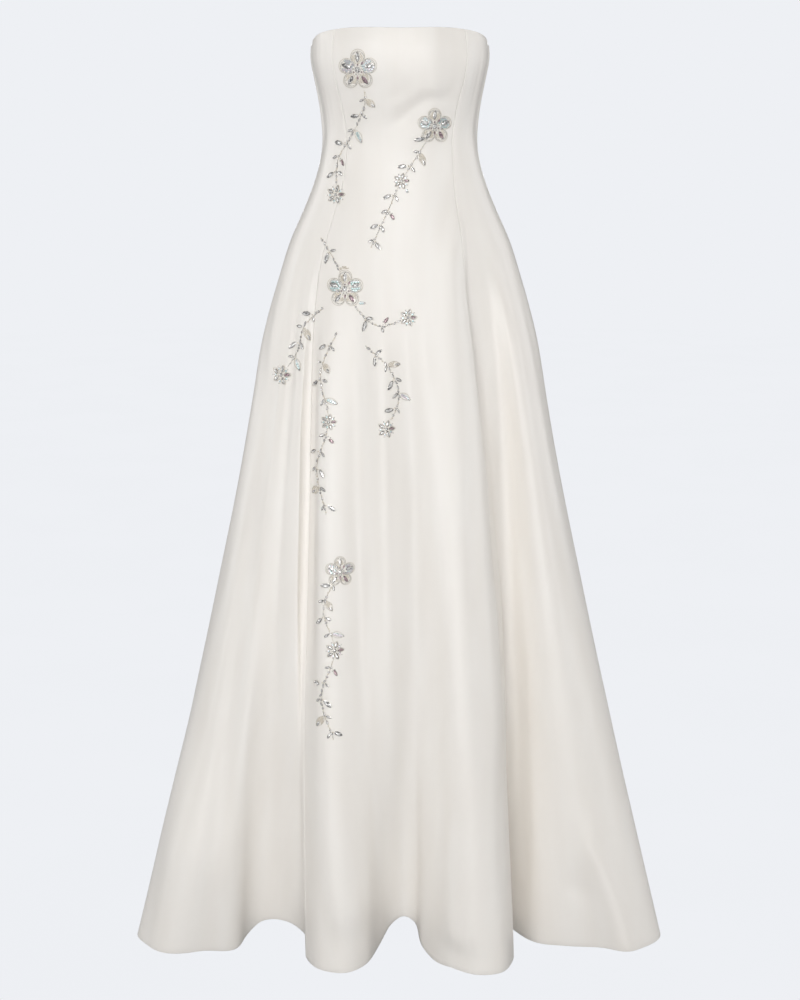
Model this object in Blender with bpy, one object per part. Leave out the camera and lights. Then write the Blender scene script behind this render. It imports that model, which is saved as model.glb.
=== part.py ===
"""Strapless princess-line wedding dress in heavy satin, filled out as if worn, with nobody inside.

Seven panels run from the top edge to the hem with no waist seam. A concealed zip closes the centre back, and
beaded sprays lie on the left front. The front faces -Y, +X is to the right of someone looking at the front,
and the origin is the centre of the waist, where the wearer holds the dress.

The cloth is one surface, read by a place round the dress and a level on it. A plain oval section at each
height gives the figure, and the folds table says where each fold stands in plan at mid skirt and at the hem.
"""

import math
from collections import namedtuple

import bmesh
import bpy
import numpy as np

# Cloth
WALL = 0.002
SEAM_GAP = 0.0003

# Heights above the waist, and how softly the folds begin
HIP = -0.20
FOLDS_START = -0.13
FOLDS_SOFTNESS = 0.04
MID_SKIRT = -0.70
HEM = -1.209

# Oval sections. square is the power of the oval: 2 is an ellipse, more is boxier.
Section = namedtuple("Section", "height half_width front back square")
SECTIONS = (
    Section(0.157, 0.1300, 0.112, 0.091, 2.3),
    Section(0.122, 0.1330, 0.116, 0.092, 2.3),
    Section(0.090, 0.1275, 0.112, 0.089, 2.3),
    Section(0.060, 0.1215, 0.101, 0.085, 2.3),
    Section(0.030, 0.1175, 0.092, 0.082, 2.3),
    Section(0.000, 0.1160, 0.088, 0.081, 2.3),
    Section(-0.030, 0.1200, 0.089, 0.085, 2.3),
    Section(-0.060, 0.1290, 0.093, 0.093, 2.2),
    Section(-0.095, 0.1430, 0.099, 0.105, 2.2),
    Section(-0.145, 0.1655, 0.109, 0.122, 2.1),
    Section(-0.200, 0.1835, 0.119, 0.135, 2.1),
    Section(-0.295, 0.2095, 0.136, 0.151, 2.0),
    Section(-0.385, 0.2255, 0.148, 0.163, 2.0),
    Section(-0.537, 0.2550, 0.165, 0.184, 2.0),
    Section(MID_SKIRT, 0.2900, 0.186, 0.206, 2.0),
    Section(-0.934, 0.3440, 0.214, 0.236, 2.0),
    Section(HEM, 0.4095, 0.248, 0.272, 2.0),
)

# Top edge: level over the bust, dipping under the arms and lower across the back
EdgePoint = namedtuple("EdgePoint", "angle height")
TOP_EDGE = (
    EdgePoint(0, 0.157),
    EdgePoint(44, 0.157),
    EdgePoint(68, 0.151),
    EdgePoint(90, 0.138),
    EdgePoint(120, 0.123),
    EdgePoint(180, 0.116),
)

# Seams, as angles round the dress from the centre front, positive towards +X
Seam = namedtuple("Seam", "name top waist hip")
SEAMS = (
    Seam("centre_back", -180, -180, -180),
    Seam("back_left", -136, -134, -132),
    Seam("side_left", -90, -90, -90),
    Seam("front_left", -48, -47, -54),
    Seam("front_right", 48, 46, 43),
    Seam("side_right", 90, 90, 90),
    Seam("back_right", 136, 134, 132),
    Seam("centre_back_end", 180, 180, 180),
)

# Folds, from the centre back round the left side, the front and the right side
Fold = namedtuple("Fold", "name seam mid_x mid_y hem_x hem_y lift")
FOLDS = (
    Fold("centre back pleat", "centre_back", 0.000, 0.207, 0.000, 0.325, 0.0),
    Fold("centre back pleat, left edge", "", -0.036, 0.203, -0.056, 0.310, 0.0),
    Fold("left back recess", "", -0.078, 0.180, -0.098, 0.222, 0.016),
    Fold("left back ridge, inner side", "", -0.115, 0.192, -0.148, 0.286, 0.0),
    Fold("left back ridge", "back_left", -0.152, 0.186, -0.210, 0.292, 0.0),
    Fold("left back ridge, outer side", "", -0.190, 0.160, -0.258, 0.232, 0.0),
    Fold("left side back recess", "", -0.226, 0.122, -0.300, 0.152, 0.016),
    Fold("left side back ridge, inner side", "", -0.262, 0.088, -0.370, 0.118, 0.0),
    Fold("left side back ridge", "", -0.286, 0.038, -0.405, 0.050, 0.0),
    Fold("left side recess", "side_left", -0.286, -0.015, -0.386, -0.050, 0.0),
    Fold("left flap, outer side", "", -0.290, -0.060, -0.402, -0.115, 0.0),
    Fold("left flap corner", "", -0.280, -0.100, -0.408, -0.162, 0.0),
    Fold("left flap", "", -0.262, -0.134, -0.372, -0.197, 0.0),
    Fold("left flap crest", "", -0.234, -0.157, -0.305, -0.204, 0.0),
    Fold("left flap, inner edge", "", -0.212, -0.162, -0.247, -0.197, 0.0),
    Fold("left flap turn", "", -0.199, -0.158, -0.233, -0.176, 0.010),
    Fold("left recess", "", -0.186, -0.154, -0.215, -0.164, 0.023),
    Fold("left recess, inner side", "", -0.168, -0.162, -0.171, -0.164, 0.023),
    Fold("left ridge foot", "", -0.153, -0.172, -0.149, -0.180, 0.014),
    Fold("left ridge edge", "front_left", -0.139, -0.170, -0.141, -0.236, 0.0),
    Fold("left ridge crest", "", -0.114, -0.197, -0.118, -0.270, 0.0),
    Fold("left ridge", "", -0.086, -0.199, -0.081, -0.279, 0.0),
    Fold("left ridge, inner side", "", -0.060, -0.191, -0.052, -0.254, 0.0),
    Fold("centre rise", "", -0.037, -0.194, -0.031, -0.212, 0.011),
    Fold("centre recess, left side", "", -0.018, -0.193, -0.013, -0.190, 0.034),
    Fold("centre recess", "", 0.000, -0.187, 0.007, -0.180, 0.042),
    Fold("centre recess, right side", "", 0.016, -0.185, 0.023, -0.188, 0.035),
    Fold("right ridge rise", "", 0.031, -0.188, 0.032, -0.212, 0.012),
    Fold("right ridge, inner side", "", 0.050, -0.199, 0.046, -0.229, 0.0),
    Fold("right ridge shoulder", "", 0.076, -0.209, 0.080, -0.265, 0.0),
    Fold("right ridge crest", "", 0.104, -0.207, 0.115, -0.285, 0.0),
    Fold("right ridge tip", "", 0.130, -0.194, 0.150, -0.279, 0.0),
    Fold("right ridge edge", "front_right", 0.145, -0.168, 0.172, -0.236, 0.0),
    Fold("right ridge flank", "", 0.152, -0.134, 0.171, -0.190, 0.0),
    Fold("right recess", "", 0.157, -0.108, 0.162, -0.132, 0.010),
    Fold("right flap, inner edge", "", 0.171, -0.108, 0.184, -0.152, 0.0),
    Fold("right flap rise", "", 0.189, -0.126, 0.211, -0.184, 0.0),
    Fold("right flap crest", "", 0.212, -0.141, 0.255, -0.195, 0.0),
    Fold("right flap", "", 0.240, -0.141, 0.308, -0.200, 0.0),
    Fold("right flap, outer side", "", 0.264, -0.122, 0.352, -0.208, 0.0),
    Fold("right flap corner", "", 0.284, -0.086, 0.404, -0.168, 0.0),
    Fold("right flap, side face", "", 0.290, -0.050, 0.403, -0.112, 0.0),
    Fold("right side recess", "side_right", 0.286, -0.012, 0.386, -0.050, 0.0),
    Fold("right side back ridge", "", 0.287, 0.040, 0.406, 0.052, 0.0),
    Fold("right side back ridge, inner side", "", 0.264, 0.090, 0.372, 0.122, 0.0),
    Fold("right side back recess", "", 0.228, 0.124, 0.302, 0.150, 0.016),
    Fold("right back ridge, outer side", "", 0.192, 0.162, 0.262, 0.228, 0.0),
    Fold("right back ridge", "back_right", 0.154, 0.188, 0.216, 0.296, 0.0),
    Fold("right back ridge, inner side", "", 0.117, 0.194, 0.154, 0.290, 0.0),
    Fold("right back recess", "", 0.080, 0.182, 0.103, 0.226, 0.016),
    Fold("centre back pleat, right edge", "", 0.036, 0.203, 0.056, 0.312, 0.0),
    Fold("centre back pleat", "centre_back_end", 0.000, 0.207, 0.000, 0.325, 0.0),
)

# Panels between two seams, and how many strips each is divided into round the dress
Panel = namedtuple("Panel", "name start end strips")
PANELS = (
    Panel("centre_back_left", "centre_back", "back_left", 11),
    Panel("side_back_left", "back_left", "side_left", 12),
    Panel("side_front_left", "side_left", "front_left", 24),
    Panel("centre_front", "front_left", "front_right", 28),
    Panel("side_front_right", "front_right", "side_right", 22),
    Panel("side_back_right", "side_right", "back_right", 12),
    Panel("centre_back_right", "back_right", "centre_back_end", 11),
)

# Levels of the rows of faces. Above 0 a level is a share of the top edge's height, below it metres.
BODICE_LEVELS = (1.0, 0.78, 0.56, 0.28, 0.0)
SKIRT_LEVELS = (
    -0.035, -0.070, -0.115, -0.165, -0.225, -0.295,
    -0.385, -0.49, -0.61, -0.74, -0.88, -1.04, HEM,
)
LEVELS = BODICE_LEVELS + SKIRT_LEVELS

# How far apart two points are taken to read the cloth's direction between them
READING_STEP = 0.0005

# Zip
ZIP_END = -0.225
TAPE_STRIPS = 3
TAPE_THICKNESS = 0.001
SLIDER_LEVEL = 0.89
SLIDER_LEVEL_STEP = 0.03
SLIDER_TAPER = 0.6
SLIDER_WIDTH = 0.0056
SLIDER_LENGTH = 0.0094
SLIDER_DEPTH = 0.0020
BRIDGE_WIDTH = 0.0016
BRIDGE_BAR = 0.0009
BRIDGE_REACH = 0.0035
BRIDGE_GAP = 0.0021
PULL_THICKNESS = 0.0010
PULL_LENGTH = 0.0220
PULL_EYE = 0.0056
PULL_RAIL = 0.0009
PULL_CLEARANCE = 0.0003
PULL_END_WIDTH = 0.0062
PULL_END_SIDES = 10

# Beaded sprays, drawn in front view (x, height) in metres
SPRAY_LIFT = 0.0004
SPRAY_HEIGHT = 0.0018
SPRAY_CUT = (-0.35, 0.0)
STEM_WIDTH = 0.0034
LEAF_LENGTH = 0.020
LEAF_WIDTH = 0.009
LEAF_TURN = 52
LEAF_FROM_START = 0.8
LEAF_FROM_END = 0.5
LEAF_SHAPE = ((0.0, 0.3), (0.35, 1.0), (0.7, 0.8), (1.0, 0.0))
PETALS = 5
PETAL_POINTS = 4
PETAL_WAIST = 0.5
PETAL_ROUNDNESS = 0.55
STEM_STEP = 0.018
Blossom = namedtuple("Blossom", "x height size")
# column_step: a flat stretch's shell takes every second of the panels' columns
Spray = namedtuple("Spray", "name column_step stem leaves blossoms")
SPRAYS = (
    Spray(
        "spray_bust",
        2,
        ((-0.060, 0.100), (-0.050, 0.060), (-0.066, 0.016), (-0.090, -0.024), (-0.094, -0.076)),
        8,
        (Blossom(-0.060, 0.100, 0.056), Blossom(-0.094, -0.076, 0.028)),
    ),
    Spray(
        "spray_waist",
        2,
        ((0.050, 0.022), (0.030, -0.012), (0.002, -0.056), (-0.020, -0.104), (-0.042, -0.150)),
        8,
        (Blossom(0.050, 0.022, 0.050), Blossom(0.002, -0.056, 0.024)),
    ),
    Spray(
        "spray_hip",
        1,
        ((-0.116, -0.138), (-0.092, -0.176), (-0.072, -0.226), (-0.030, -0.262), (0.012, -0.250)),
        7,
        (Blossom(-0.080, -0.210, 0.054), Blossom(0.012, -0.250, 0.026)),
    ),
    Spray(
        "spray_side",
        1,
        ((-0.112, -0.238), (-0.140, -0.264), (-0.152, -0.304), (-0.176, -0.338)),
        5,
        (Blossom(-0.176, -0.338, 0.030),),
    ),
    Spray(
        "spray_thigh",
        1,
        ((-0.050, -0.290), (-0.016, -0.322), (-0.002, -0.366), (-0.020, -0.408)),
        6,
        (Blossom(-0.020, -0.408, 0.026),),
    ),
    Spray(
        "spray_trail",
        1,
        ((-0.092, -0.272), (-0.116, -0.330), (-0.104, -0.400), (-0.122, -0.470), (-0.108, -0.532)),
        10,
        (Blossom(-0.104, -0.400, 0.024),),
    ),
    Spray(
        "spray_skirt",
        1,
        ((-0.088, -0.616), (-0.112, -0.668), (-0.096, -0.730), (-0.116, -0.800), (-0.098, -0.860)),
        10,
        (Blossom(-0.088, -0.616, 0.044), Blossom(-0.096, -0.730, 0.028)),
    ),
)
SPRAY_PANELS = ("side_front_left", "centre_front")


def through(stations, values, at):
    """Values read at places along a smooth curve through every station."""
    stations = np.asarray(stations, float)
    values = np.asarray(values, float)
    slopes = np.gradient(values, stations, axis=0)
    at = np.clip(at, stations[0], stations[-1])
    low = np.clip(np.searchsorted(stations, at, side="right") - 1, 0, len(stations) - 2)
    width = stations[low + 1] - stations[low]
    share = (at - stations[low]) / width
    if values.ndim > 1:
        share = share[..., None]
        width = width[..., None]
    return (
        values[low] * (1 + 2 * share) * (1 - share) ** 2
        + slopes[low] * width * share * (1 - share) ** 2
        + values[low + 1] * (3 - 2 * share) * share**2
        - slopes[low + 1] * width * share**2 * (1 - share)
    )


def column(rows, name):
    return np.array([getattr(row, name) for row in rows], float)


def section_size(name, height):
    return through(column(SECTIONS, "height")[::-1], column(SECTIONS, name)[::-1], height)


def oval(angle, height):
    """Plan position on the plain section at a height."""
    across = np.sin(angle)
    ahead = np.cos(angle)
    depth = np.where(ahead > 0, section_size("front", height), section_size("back", height))
    power = section_size("square", height)
    reach = (
        np.abs(across / section_size("half_width", height)) ** power + np.abs(ahead / depth) ** power
    ) ** (-1 / power)
    return np.stack([reach * across, -reach * ahead], axis=-1)


# Places round the dress are metres along the hem, from chord to chord of the folds.
FOLD_PLACES = np.concatenate(
    [[0], np.cumsum(np.hypot(np.diff(column(FOLDS, "hem_x")), np.diff(column(FOLDS, "hem_y"))))]
)
SEAM_PLACES = {fold.seam: place for fold, place in zip(FOLDS, FOLD_PLACES) if fold.seam}
ROUND = FOLD_PLACES[-1]


def round_curve(values, place):
    """A closed smooth curve through one value for each fold."""
    before = slice(-4, -1)
    after = slice(1, 4)
    places = np.concatenate([FOLD_PLACES[before] - ROUND, FOLD_PLACES, FOLD_PLACES[after] + ROUND])
    padded = np.concatenate([values[before], values, values[after]])
    return through(places, padded, place)


def angle_at(place, level):
    """Angle round the dress of a place, which shifts with height where the seams do."""
    seam_places = [SEAM_PLACES[seam.name] for seam in SEAMS]
    angles = {name: np.interp(place, seam_places, column(SEAMS, name)) for name in ("top", "waist", "hip")}
    up = np.clip(level, 0, 1)
    down = np.clip(level / HIP, 0, 1)
    down = down * down * (3 - 2 * down)
    return np.radians(
        angles["waist"] + up * (angles["top"] - angles["waist"]) + down * (angles["hip"] - angles["waist"])
    )


def fold_weights(height):
    """How much of the mid-skirt fold and of the hem fold a height takes."""
    fall = np.clip((FOLDS_START - height) / (FOLDS_START - HEM), 0, 1)
    fall = fall * fall * (1 + FOLDS_SOFTNESS) / (fall + FOLDS_SOFTNESS)
    middle = (FOLDS_START - MID_SKIRT) / (FOLDS_START - HEM)
    at_middle = fall * (1 - fall) / (middle * (1 - middle))
    at_hem = fall * (fall - middle) / (1 - middle)
    return at_middle, at_hem


def surface(place, level):
    """Point of the cloth's outer face at a place round the dress and a level on it."""
    place, level = np.broadcast_arrays(np.asarray(place, float), np.asarray(level, float))
    angle = angle_at(place, level)
    edge = through(column(TOP_EDGE, "angle"), column(TOP_EDGE, "height"), np.abs(np.degrees(angle)))
    height = np.where(level > 0, level * edge, level)
    plan = oval(angle, height)
    for weight, stem, at in zip(fold_weights(height), ("mid", "hem"), (MID_SKIRT, HEM)):
        wanted = np.stack(
            [round_curve(column(FOLDS, stem + "_x"), place), round_curve(column(FOLDS, stem + "_y"), place)],
            axis=-1,
        )
        plain = oval(angle_at(place, np.full_like(place, HIP)), np.full_like(height, at))
        plan = plan + weight[..., None] * (wanted - plain)
    lift = round_curve(column(FOLDS, "lift"), place) * fold_weights(height)[1]
    return np.concatenate([plan, (height + lift)[..., None]], axis=-1)


def directions(place, level):
    """Unit vectors out of the cloth and along it, round the dress."""
    along = surface(place + READING_STEP, level) - surface(place - READING_STEP, level)
    low = np.maximum(level - 2 * READING_STEP, HEM)
    high = np.minimum(level + 2 * READING_STEP, BODICE_LEVELS[0])
    up = surface(place, high) - surface(place, low)
    out = np.cross(along, up)
    return (
        out / np.linalg.norm(out, axis=-1, keepdims=True),
        along / np.linalg.norm(along, axis=-1, keepdims=True),
    )


def material(name, colour, roughness, metallic=0.0):
    made = bpy.data.materials.new(name)
    made.use_nodes = True
    shader = made.node_tree.nodes["Principled BSDF"]
    shader.inputs["Base Color"].default_value = (*colour, 1)
    shader.inputs["Roughness"].default_value = roughness
    shader.inputs["Metallic"].default_value = metallic
    return made


def object_from(name, mesh_builder, finish, parent):
    """An object from a bmesh, with its material and its parent."""
    mesh = bpy.data.meshes.new(name)
    bmesh.ops.recalc_face_normals(mesh_builder, faces=mesh_builder.faces)
    mesh_builder.to_mesh(mesh)
    mesh_builder.free()
    mesh.materials.append(finish)
    made = bpy.data.objects.new(name, mesh)
    bpy.context.scene.collection.objects.link(made)
    made.parent = parent
    return made


def shade_round(made, sharp_degrees=40):
    made.data.shade_smooth()
    made.data.set_sharp_from_angle(angle=math.radians(sharp_degrees))


def wall_between(outer, inner):
    """A closed wall between two grids of points, rows from the top down and columns round the dress."""
    builder = bmesh.new()
    rows, columns = outer.shape[:2]
    faces_of = []
    for grid in (outer, inner):
        faces_of.append([[builder.verts.new(point) for point in row] for row in grid])
    out, back = faces_of
    for row in range(rows - 1):
        for col in range(columns - 1):
            builder.faces.new((out[row][col], out[row + 1][col], out[row + 1][col + 1]))
            builder.faces.new((out[row][col], out[row + 1][col + 1], out[row][col + 1]))
            builder.faces.new((back[row][col], back[row + 1][col + 1], back[row + 1][col]))
            builder.faces.new((back[row][col], back[row][col + 1], back[row + 1][col + 1]))
    for col in range(columns - 1):
        for row in (0, rows - 1):
            builder.faces.new((out[row][col], out[row][col + 1], back[row][col + 1], back[row][col]))
    for row in range(rows - 1):
        for col in (0, columns - 1):
            builder.faces.new((out[row][col], out[row + 1][col], back[row + 1][col], back[row][col]))
    return builder


def panel_places(panel):
    return np.linspace(SEAM_PLACES[panel.start], SEAM_PLACES[panel.end], panel.strips + 1)


def make_panel(panel, satin, parent):
    """One cut panel: its outer points, the same points a wall further in, and half a seam gap each side."""
    places, levels = np.meshgrid(panel_places(panel), LEVELS)
    out, along = directions(places, levels)
    outer = surface(places, levels)
    inner = outer - WALL * out
    inner[..., 2] = outer[..., 2]
    for grid in (outer, inner):
        grid[:, 0] += along[:, 0] * SEAM_GAP / 2
        grid[:, -1] -= along[:, -1] * SEAM_GAP / 2
    made = object_from(panel.name, wall_between(outer, inner), satin, parent)
    shade_round(made)


def make_zip_tape(coil, parent):
    """The tape behind the centre back seam, on the panels' own columns and a seam gap inside them."""
    step = SEAM_PLACES["back_left"] / PANELS[0].strips
    places = step * np.arange(-TAPE_STRIPS, TAPE_STRIPS + 1) % ROUND
    levels = [level for level in LEVELS if level >= ZIP_END]
    places, levels = np.meshgrid(places, levels)
    out, _ = directions(places, levels)
    face = surface(places, levels) - out * (WALL + SEAM_GAP)
    made = object_from("zip_tape", wall_between(face, face - out * TAPE_THICKNESS), coil, parent)
    shade_round(made)


def prism(outline, axes, origin, low, high):
    """An outline drawn along the first two axes, extruded from low to high along the third."""
    across, ahead, along = (np.asarray(axis, float) for axis in axes)
    builder = bmesh.new()
    ends = []
    for reach in (low, high):
        base = np.asarray(origin, float) + along * reach
        ends.append([builder.verts.new(base + across * p + ahead * q) for p, q in outline])
    builder.faces.new(ends[0])
    builder.faces.new(ends[1][::-1])
    count = len(outline)
    for i in range(count):
        after = (i + 1) % count
        builder.faces.new((ends[0][i], ends[0][after], ends[1][after], ends[1][i]))
    return builder


def combine(made, helper, operation, with_itself=False):
    """A Boolean that leaves its helper out of the model."""
    helper.hide_render = True
    helper.display_type = "WIRE"
    modifier = made.modifiers.new(operation.lower(), "BOOLEAN")
    modifier.operation = operation
    modifier.object = helper
    modifier.use_self = with_itself


def slider_seat():
    """Where the slider sits: a point on the centre back, with the directions out of the cloth and up it."""
    ends = surface(0.0, np.array([SLIDER_LEVEL - SLIDER_LEVEL_STEP, SLIDER_LEVEL + SLIDER_LEVEL_STEP]))
    up = (ends[1] - ends[0]) / np.linalg.norm(ends[1] - ends[0])
    return surface(0.0, SLIDER_LEVEL), np.cross(up, (1.0, 0.0, 0.0)), up


def hinge_point():
    """The middle of the space under the bridge, where the pull tab's bar turns."""
    seat, out, _ = slider_seat()
    return seat + out * (SEAM_GAP + SLIDER_DEPTH + BRIDGE_GAP / 2)


def make_slider(metal, parent):
    """The slider's body, narrower at its lower end, and the bridge that holds the pull tab."""
    seat, out, up = slider_seat()
    side = (1.0, 0.0, 0.0)
    half = SLIDER_WIDTH / 2
    length = SLIDER_LENGTH / 2
    foot = half * SLIDER_TAPER
    outline = ((-half, length), (-half, 0), (-foot, -length), (foot, -length), (half, 0), (half, length))
    body = prism(outline, (side, up, out), seat, SEAM_GAP, SEAM_GAP + SLIDER_DEPTH)
    made = object_from("zip_slider", body, metal, parent)
    root = SLIDER_DEPTH / 2
    inside = SLIDER_DEPTH + BRIDGE_GAP
    outside = inside + BRIDGE_BAR
    leg = BRIDGE_REACH + BRIDGE_BAR
    staple = (
        (-leg, root), (-leg, outside), (leg, outside), (leg, root),
        (BRIDGE_REACH, root), (BRIDGE_REACH, inside), (-BRIDGE_REACH, inside), (-BRIDGE_REACH, root),
    )
    bridge = prism(staple, (up, out, side), seat + out * SEAM_GAP, -BRIDGE_WIDTH / 2, BRIDGE_WIDTH / 2)
    combine(made, object_from("zip_bridge_helper", bridge, metal, parent), "UNION")


def make_pull(metal, parent):
    """The drop-shaped pull tab, hanging straight down from its bar. Its origin is on the bar's axis."""
    hinge = bpy.data.objects.new("zip_pull_hinge", None)
    bpy.context.scene.collection.objects.link(hinge)
    hinge.location = hinge_point()
    hinge.parent = parent
    bar = PULL_THICKNESS / 2
    hole = BRIDGE_WIDTH / 2 + PULL_CLEARANCE
    neck = hole + PULL_RAIL
    end = PULL_END_WIDTH / 2
    middle = -PULL_LENGTH + end
    arc = [math.pi + math.pi * i / PULL_END_SIDES for i in range(PULL_END_SIDES + 1)]
    outline = [(neck, bar), (-neck, bar), (-neck, -PULL_EYE)]
    outline += [(end * math.cos(turn), middle + end * math.sin(turn)) for turn in arc]
    outline.append((neck, -PULL_EYE))
    axes = ((1, 0, 0), (0, 0, 1), (0, 1, 0))
    made = object_from("zip_pull", prism(outline, axes, (0, 0, 0), -bar, bar), metal, hinge)
    window = ((hole, -bar), (-hole, -bar), (-hole, -PULL_EYE), (hole, -PULL_EYE))
    cutter = prism(window, axes, (0, 0, 0), -PULL_THICKNESS, PULL_THICKNESS)
    combine(made, object_from("zip_pull_window_helper", cutter, metal, hinge), "DIFFERENCE")


def petals_outline(blossom):
    """Five round petals that meet at a waist between each two."""
    radius = blossom.size / 2
    points = []
    for i in range(PETALS * PETAL_POINTS):
        turn = 2 * math.pi * i / (PETALS * PETAL_POINTS)
        swell = abs(math.cos(PETALS * turn / 2)) ** PETAL_ROUNDNESS
        reach = radius * (PETAL_WAIST + (1 - PETAL_WAIST) * swell)
        points.append((blossom.x + reach * math.sin(turn), blossom.height + reach * math.cos(turn)))
    return points


def turned(direction, turn):
    return (
        direction[0] * math.cos(turn) - direction[1] * math.sin(turn),
        direction[0] * math.sin(turn) + direction[1] * math.cos(turn),
    )


def leaf_outline(root, direction, length):
    """A pointed leaf from a root, along a direction."""
    normal = (-direction[1], direction[0])
    sides = [(share, width / 2) for share, width in LEAF_SHAPE]
    sides += [(share, -width / 2) for share, width in LEAF_SHAPE[-2:0:-1]]
    points = []
    for share, width in sides:
        ahead = share * length
        aside = width * LEAF_WIDTH
        points.append(
            (
                root[0] + direction[0] * ahead + normal[0] * aside,
                root[1] + direction[1] * ahead + normal[1] * aside,
            )
        )
    return points


def stem_curve(spray):
    """Points along a spray's stem, and the stem's direction at each."""
    knots = np.array(spray.stem)
    runs = np.concatenate([[0], np.cumsum(np.linalg.norm(np.diff(knots, axis=0), axis=1))])
    count = max(4, round(runs[-1] / STEM_STEP))
    at = np.linspace(0, runs[-1], count + 1)
    points = through(runs, knots, at)
    ways = np.gradient(points, axis=0)
    return points, ways / np.linalg.norm(ways, axis=1, keepdims=True)


def spray_outlines(spray):
    """Every outline of a spray in front view: the stem, leaves to each side in turn, and blossoms."""
    points, ways = stem_curve(spray)
    sides = np.stack([-ways[:, 1], ways[:, 0]], axis=1) * STEM_WIDTH / 2
    outlines = [np.concatenate([points + sides, (points - sides)[::-1]])]
    leaf_steps = spray.leaves - 1 + LEAF_FROM_START + LEAF_FROM_END
    for i in range(spray.leaves):
        at = (i + LEAF_FROM_START) / leaf_steps * (len(points) - 1)
        low = min(int(at), len(points) - 2)
        root = points[low] + (points[low + 1] - points[low]) * (at - low)
        turn = math.radians(LEAF_TURN) * (1 if i % 2 else -1)
        outlines.append(leaf_outline(root, turned(ways[low], turn), LEAF_LENGTH))
    outlines += [petals_outline(blossom) for blossom in spray.blossoms]
    return outlines


def make_spray(spray, glass, parent):
    """A spray cut from a thin shell that lies just off the panels, so its back follows the cloth."""
    made = object_from(spray.name, wall_between(*spray_shell(spray.column_step)), glass, parent)
    helper = bmesh.new()
    for outline in spray_outlines(spray):
        piece = prism(outline, ((1, 0, 0), (0, 0, 1), (0, 1, 0)), (0, 0, 0), *SPRAY_CUT)
        bmesh.ops.recalc_face_normals(piece, faces=piece.faces)
        mesh = bpy.data.meshes.new("outline")
        piece.to_mesh(mesh)
        piece.free()
        helper.from_mesh(mesh)
        bpy.data.meshes.remove(mesh)
    combine(made, object_from(spray.name + "_helper", helper, glass, parent), "INTERSECT", with_itself=True)


def spray_shell(column_step):
    """Two faces just off the left front panels, on the panels' own columns and rows."""
    columns = [panel_places(panel)[::column_step] for panel in PANELS if panel.name in SPRAY_PANELS]
    places, levels = np.meshgrid(np.unique(np.concatenate(columns)), LEVELS)
    out, _ = directions(places, levels)
    face = surface(places, levels) + out * SPRAY_LIFT
    return face + out * SPRAY_HEIGHT, face


def clear_scene():
    for old in list(bpy.data.objects):
        bpy.data.objects.remove(old, do_unlink=True)


def main():
    clear_scene()
    dress = bpy.data.objects.new("dress", None)
    bpy.context.scene.collection.objects.link(dress)
    satin = material("ivory_satin", (0.86, 0.83, 0.79), 0.42)
    coil = material("nylon_coil", (0.84, 0.81, 0.77), 0.5)
    for panel in PANELS:
        make_panel(panel, satin, dress)
    make_zip_tape(coil, dress)
    metal = material("white_enamelled_zinc", (0.82, 0.80, 0.77), 0.35)
    make_slider(metal, dress)
    make_pull(metal, dress)
    glass = material("glass_beads", (0.72, 0.70, 0.68), 0.15)
    for spray in SPRAYS:
        make_spray(spray, glass, dress)


main()
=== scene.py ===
"""Looks of a strapless princess-line wedding dress in ivory satin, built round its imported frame.

Seven panels of heavy satin hang from the bust to the hem with no waist seam, filled out as if worn. Beaded
sprays of blossoms and leaves lie on the left front, and a concealed zip closes the centre back. The front
faces -Y, +X is to the right of someone looking at the front, and the origin is the centre of the waist.
"""

import math
from collections import namedtuple

import bpy
import numpy as np
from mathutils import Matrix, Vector
from mathutils.bvhtree import BVHTree


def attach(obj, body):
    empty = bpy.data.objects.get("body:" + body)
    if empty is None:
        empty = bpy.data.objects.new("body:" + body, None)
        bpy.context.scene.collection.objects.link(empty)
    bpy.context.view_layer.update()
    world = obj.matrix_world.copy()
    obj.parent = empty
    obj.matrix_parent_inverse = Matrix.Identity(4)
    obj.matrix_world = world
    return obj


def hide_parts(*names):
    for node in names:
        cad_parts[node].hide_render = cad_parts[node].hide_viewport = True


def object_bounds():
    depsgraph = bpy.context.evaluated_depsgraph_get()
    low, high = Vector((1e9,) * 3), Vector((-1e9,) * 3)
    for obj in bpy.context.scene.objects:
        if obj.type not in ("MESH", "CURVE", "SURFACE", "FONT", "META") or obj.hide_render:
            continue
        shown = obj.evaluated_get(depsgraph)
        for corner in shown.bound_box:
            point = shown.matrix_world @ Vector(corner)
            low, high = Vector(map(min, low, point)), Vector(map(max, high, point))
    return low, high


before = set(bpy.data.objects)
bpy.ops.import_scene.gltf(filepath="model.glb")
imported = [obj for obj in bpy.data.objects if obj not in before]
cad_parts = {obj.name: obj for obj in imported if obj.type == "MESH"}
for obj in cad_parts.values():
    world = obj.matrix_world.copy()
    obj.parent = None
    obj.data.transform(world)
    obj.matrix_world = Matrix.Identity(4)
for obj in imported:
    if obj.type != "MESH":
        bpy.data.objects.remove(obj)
CAD_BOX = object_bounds()

bl_info = {
    "name": "Strapless satin wedding dress",
    "version": (1, 0, 0),
    "blender": (4, 5, 0),
    "location": "View3D > Sidebar > Dress",
    "description": "Builds the satin panels, beaded sprays, zip and studio of a wedding dress",
    "category": "Object",
}

# Cloth
WALL = 0.002
SEAM_GAP = 0.0003

# Heights above the waist, and how softly the folds begin
HIP = -0.20
FOLDS_START = -0.13
FOLDS_SOFTNESS = 0.04
MID_SKIRT = -0.70
HEM = -1.209

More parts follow.
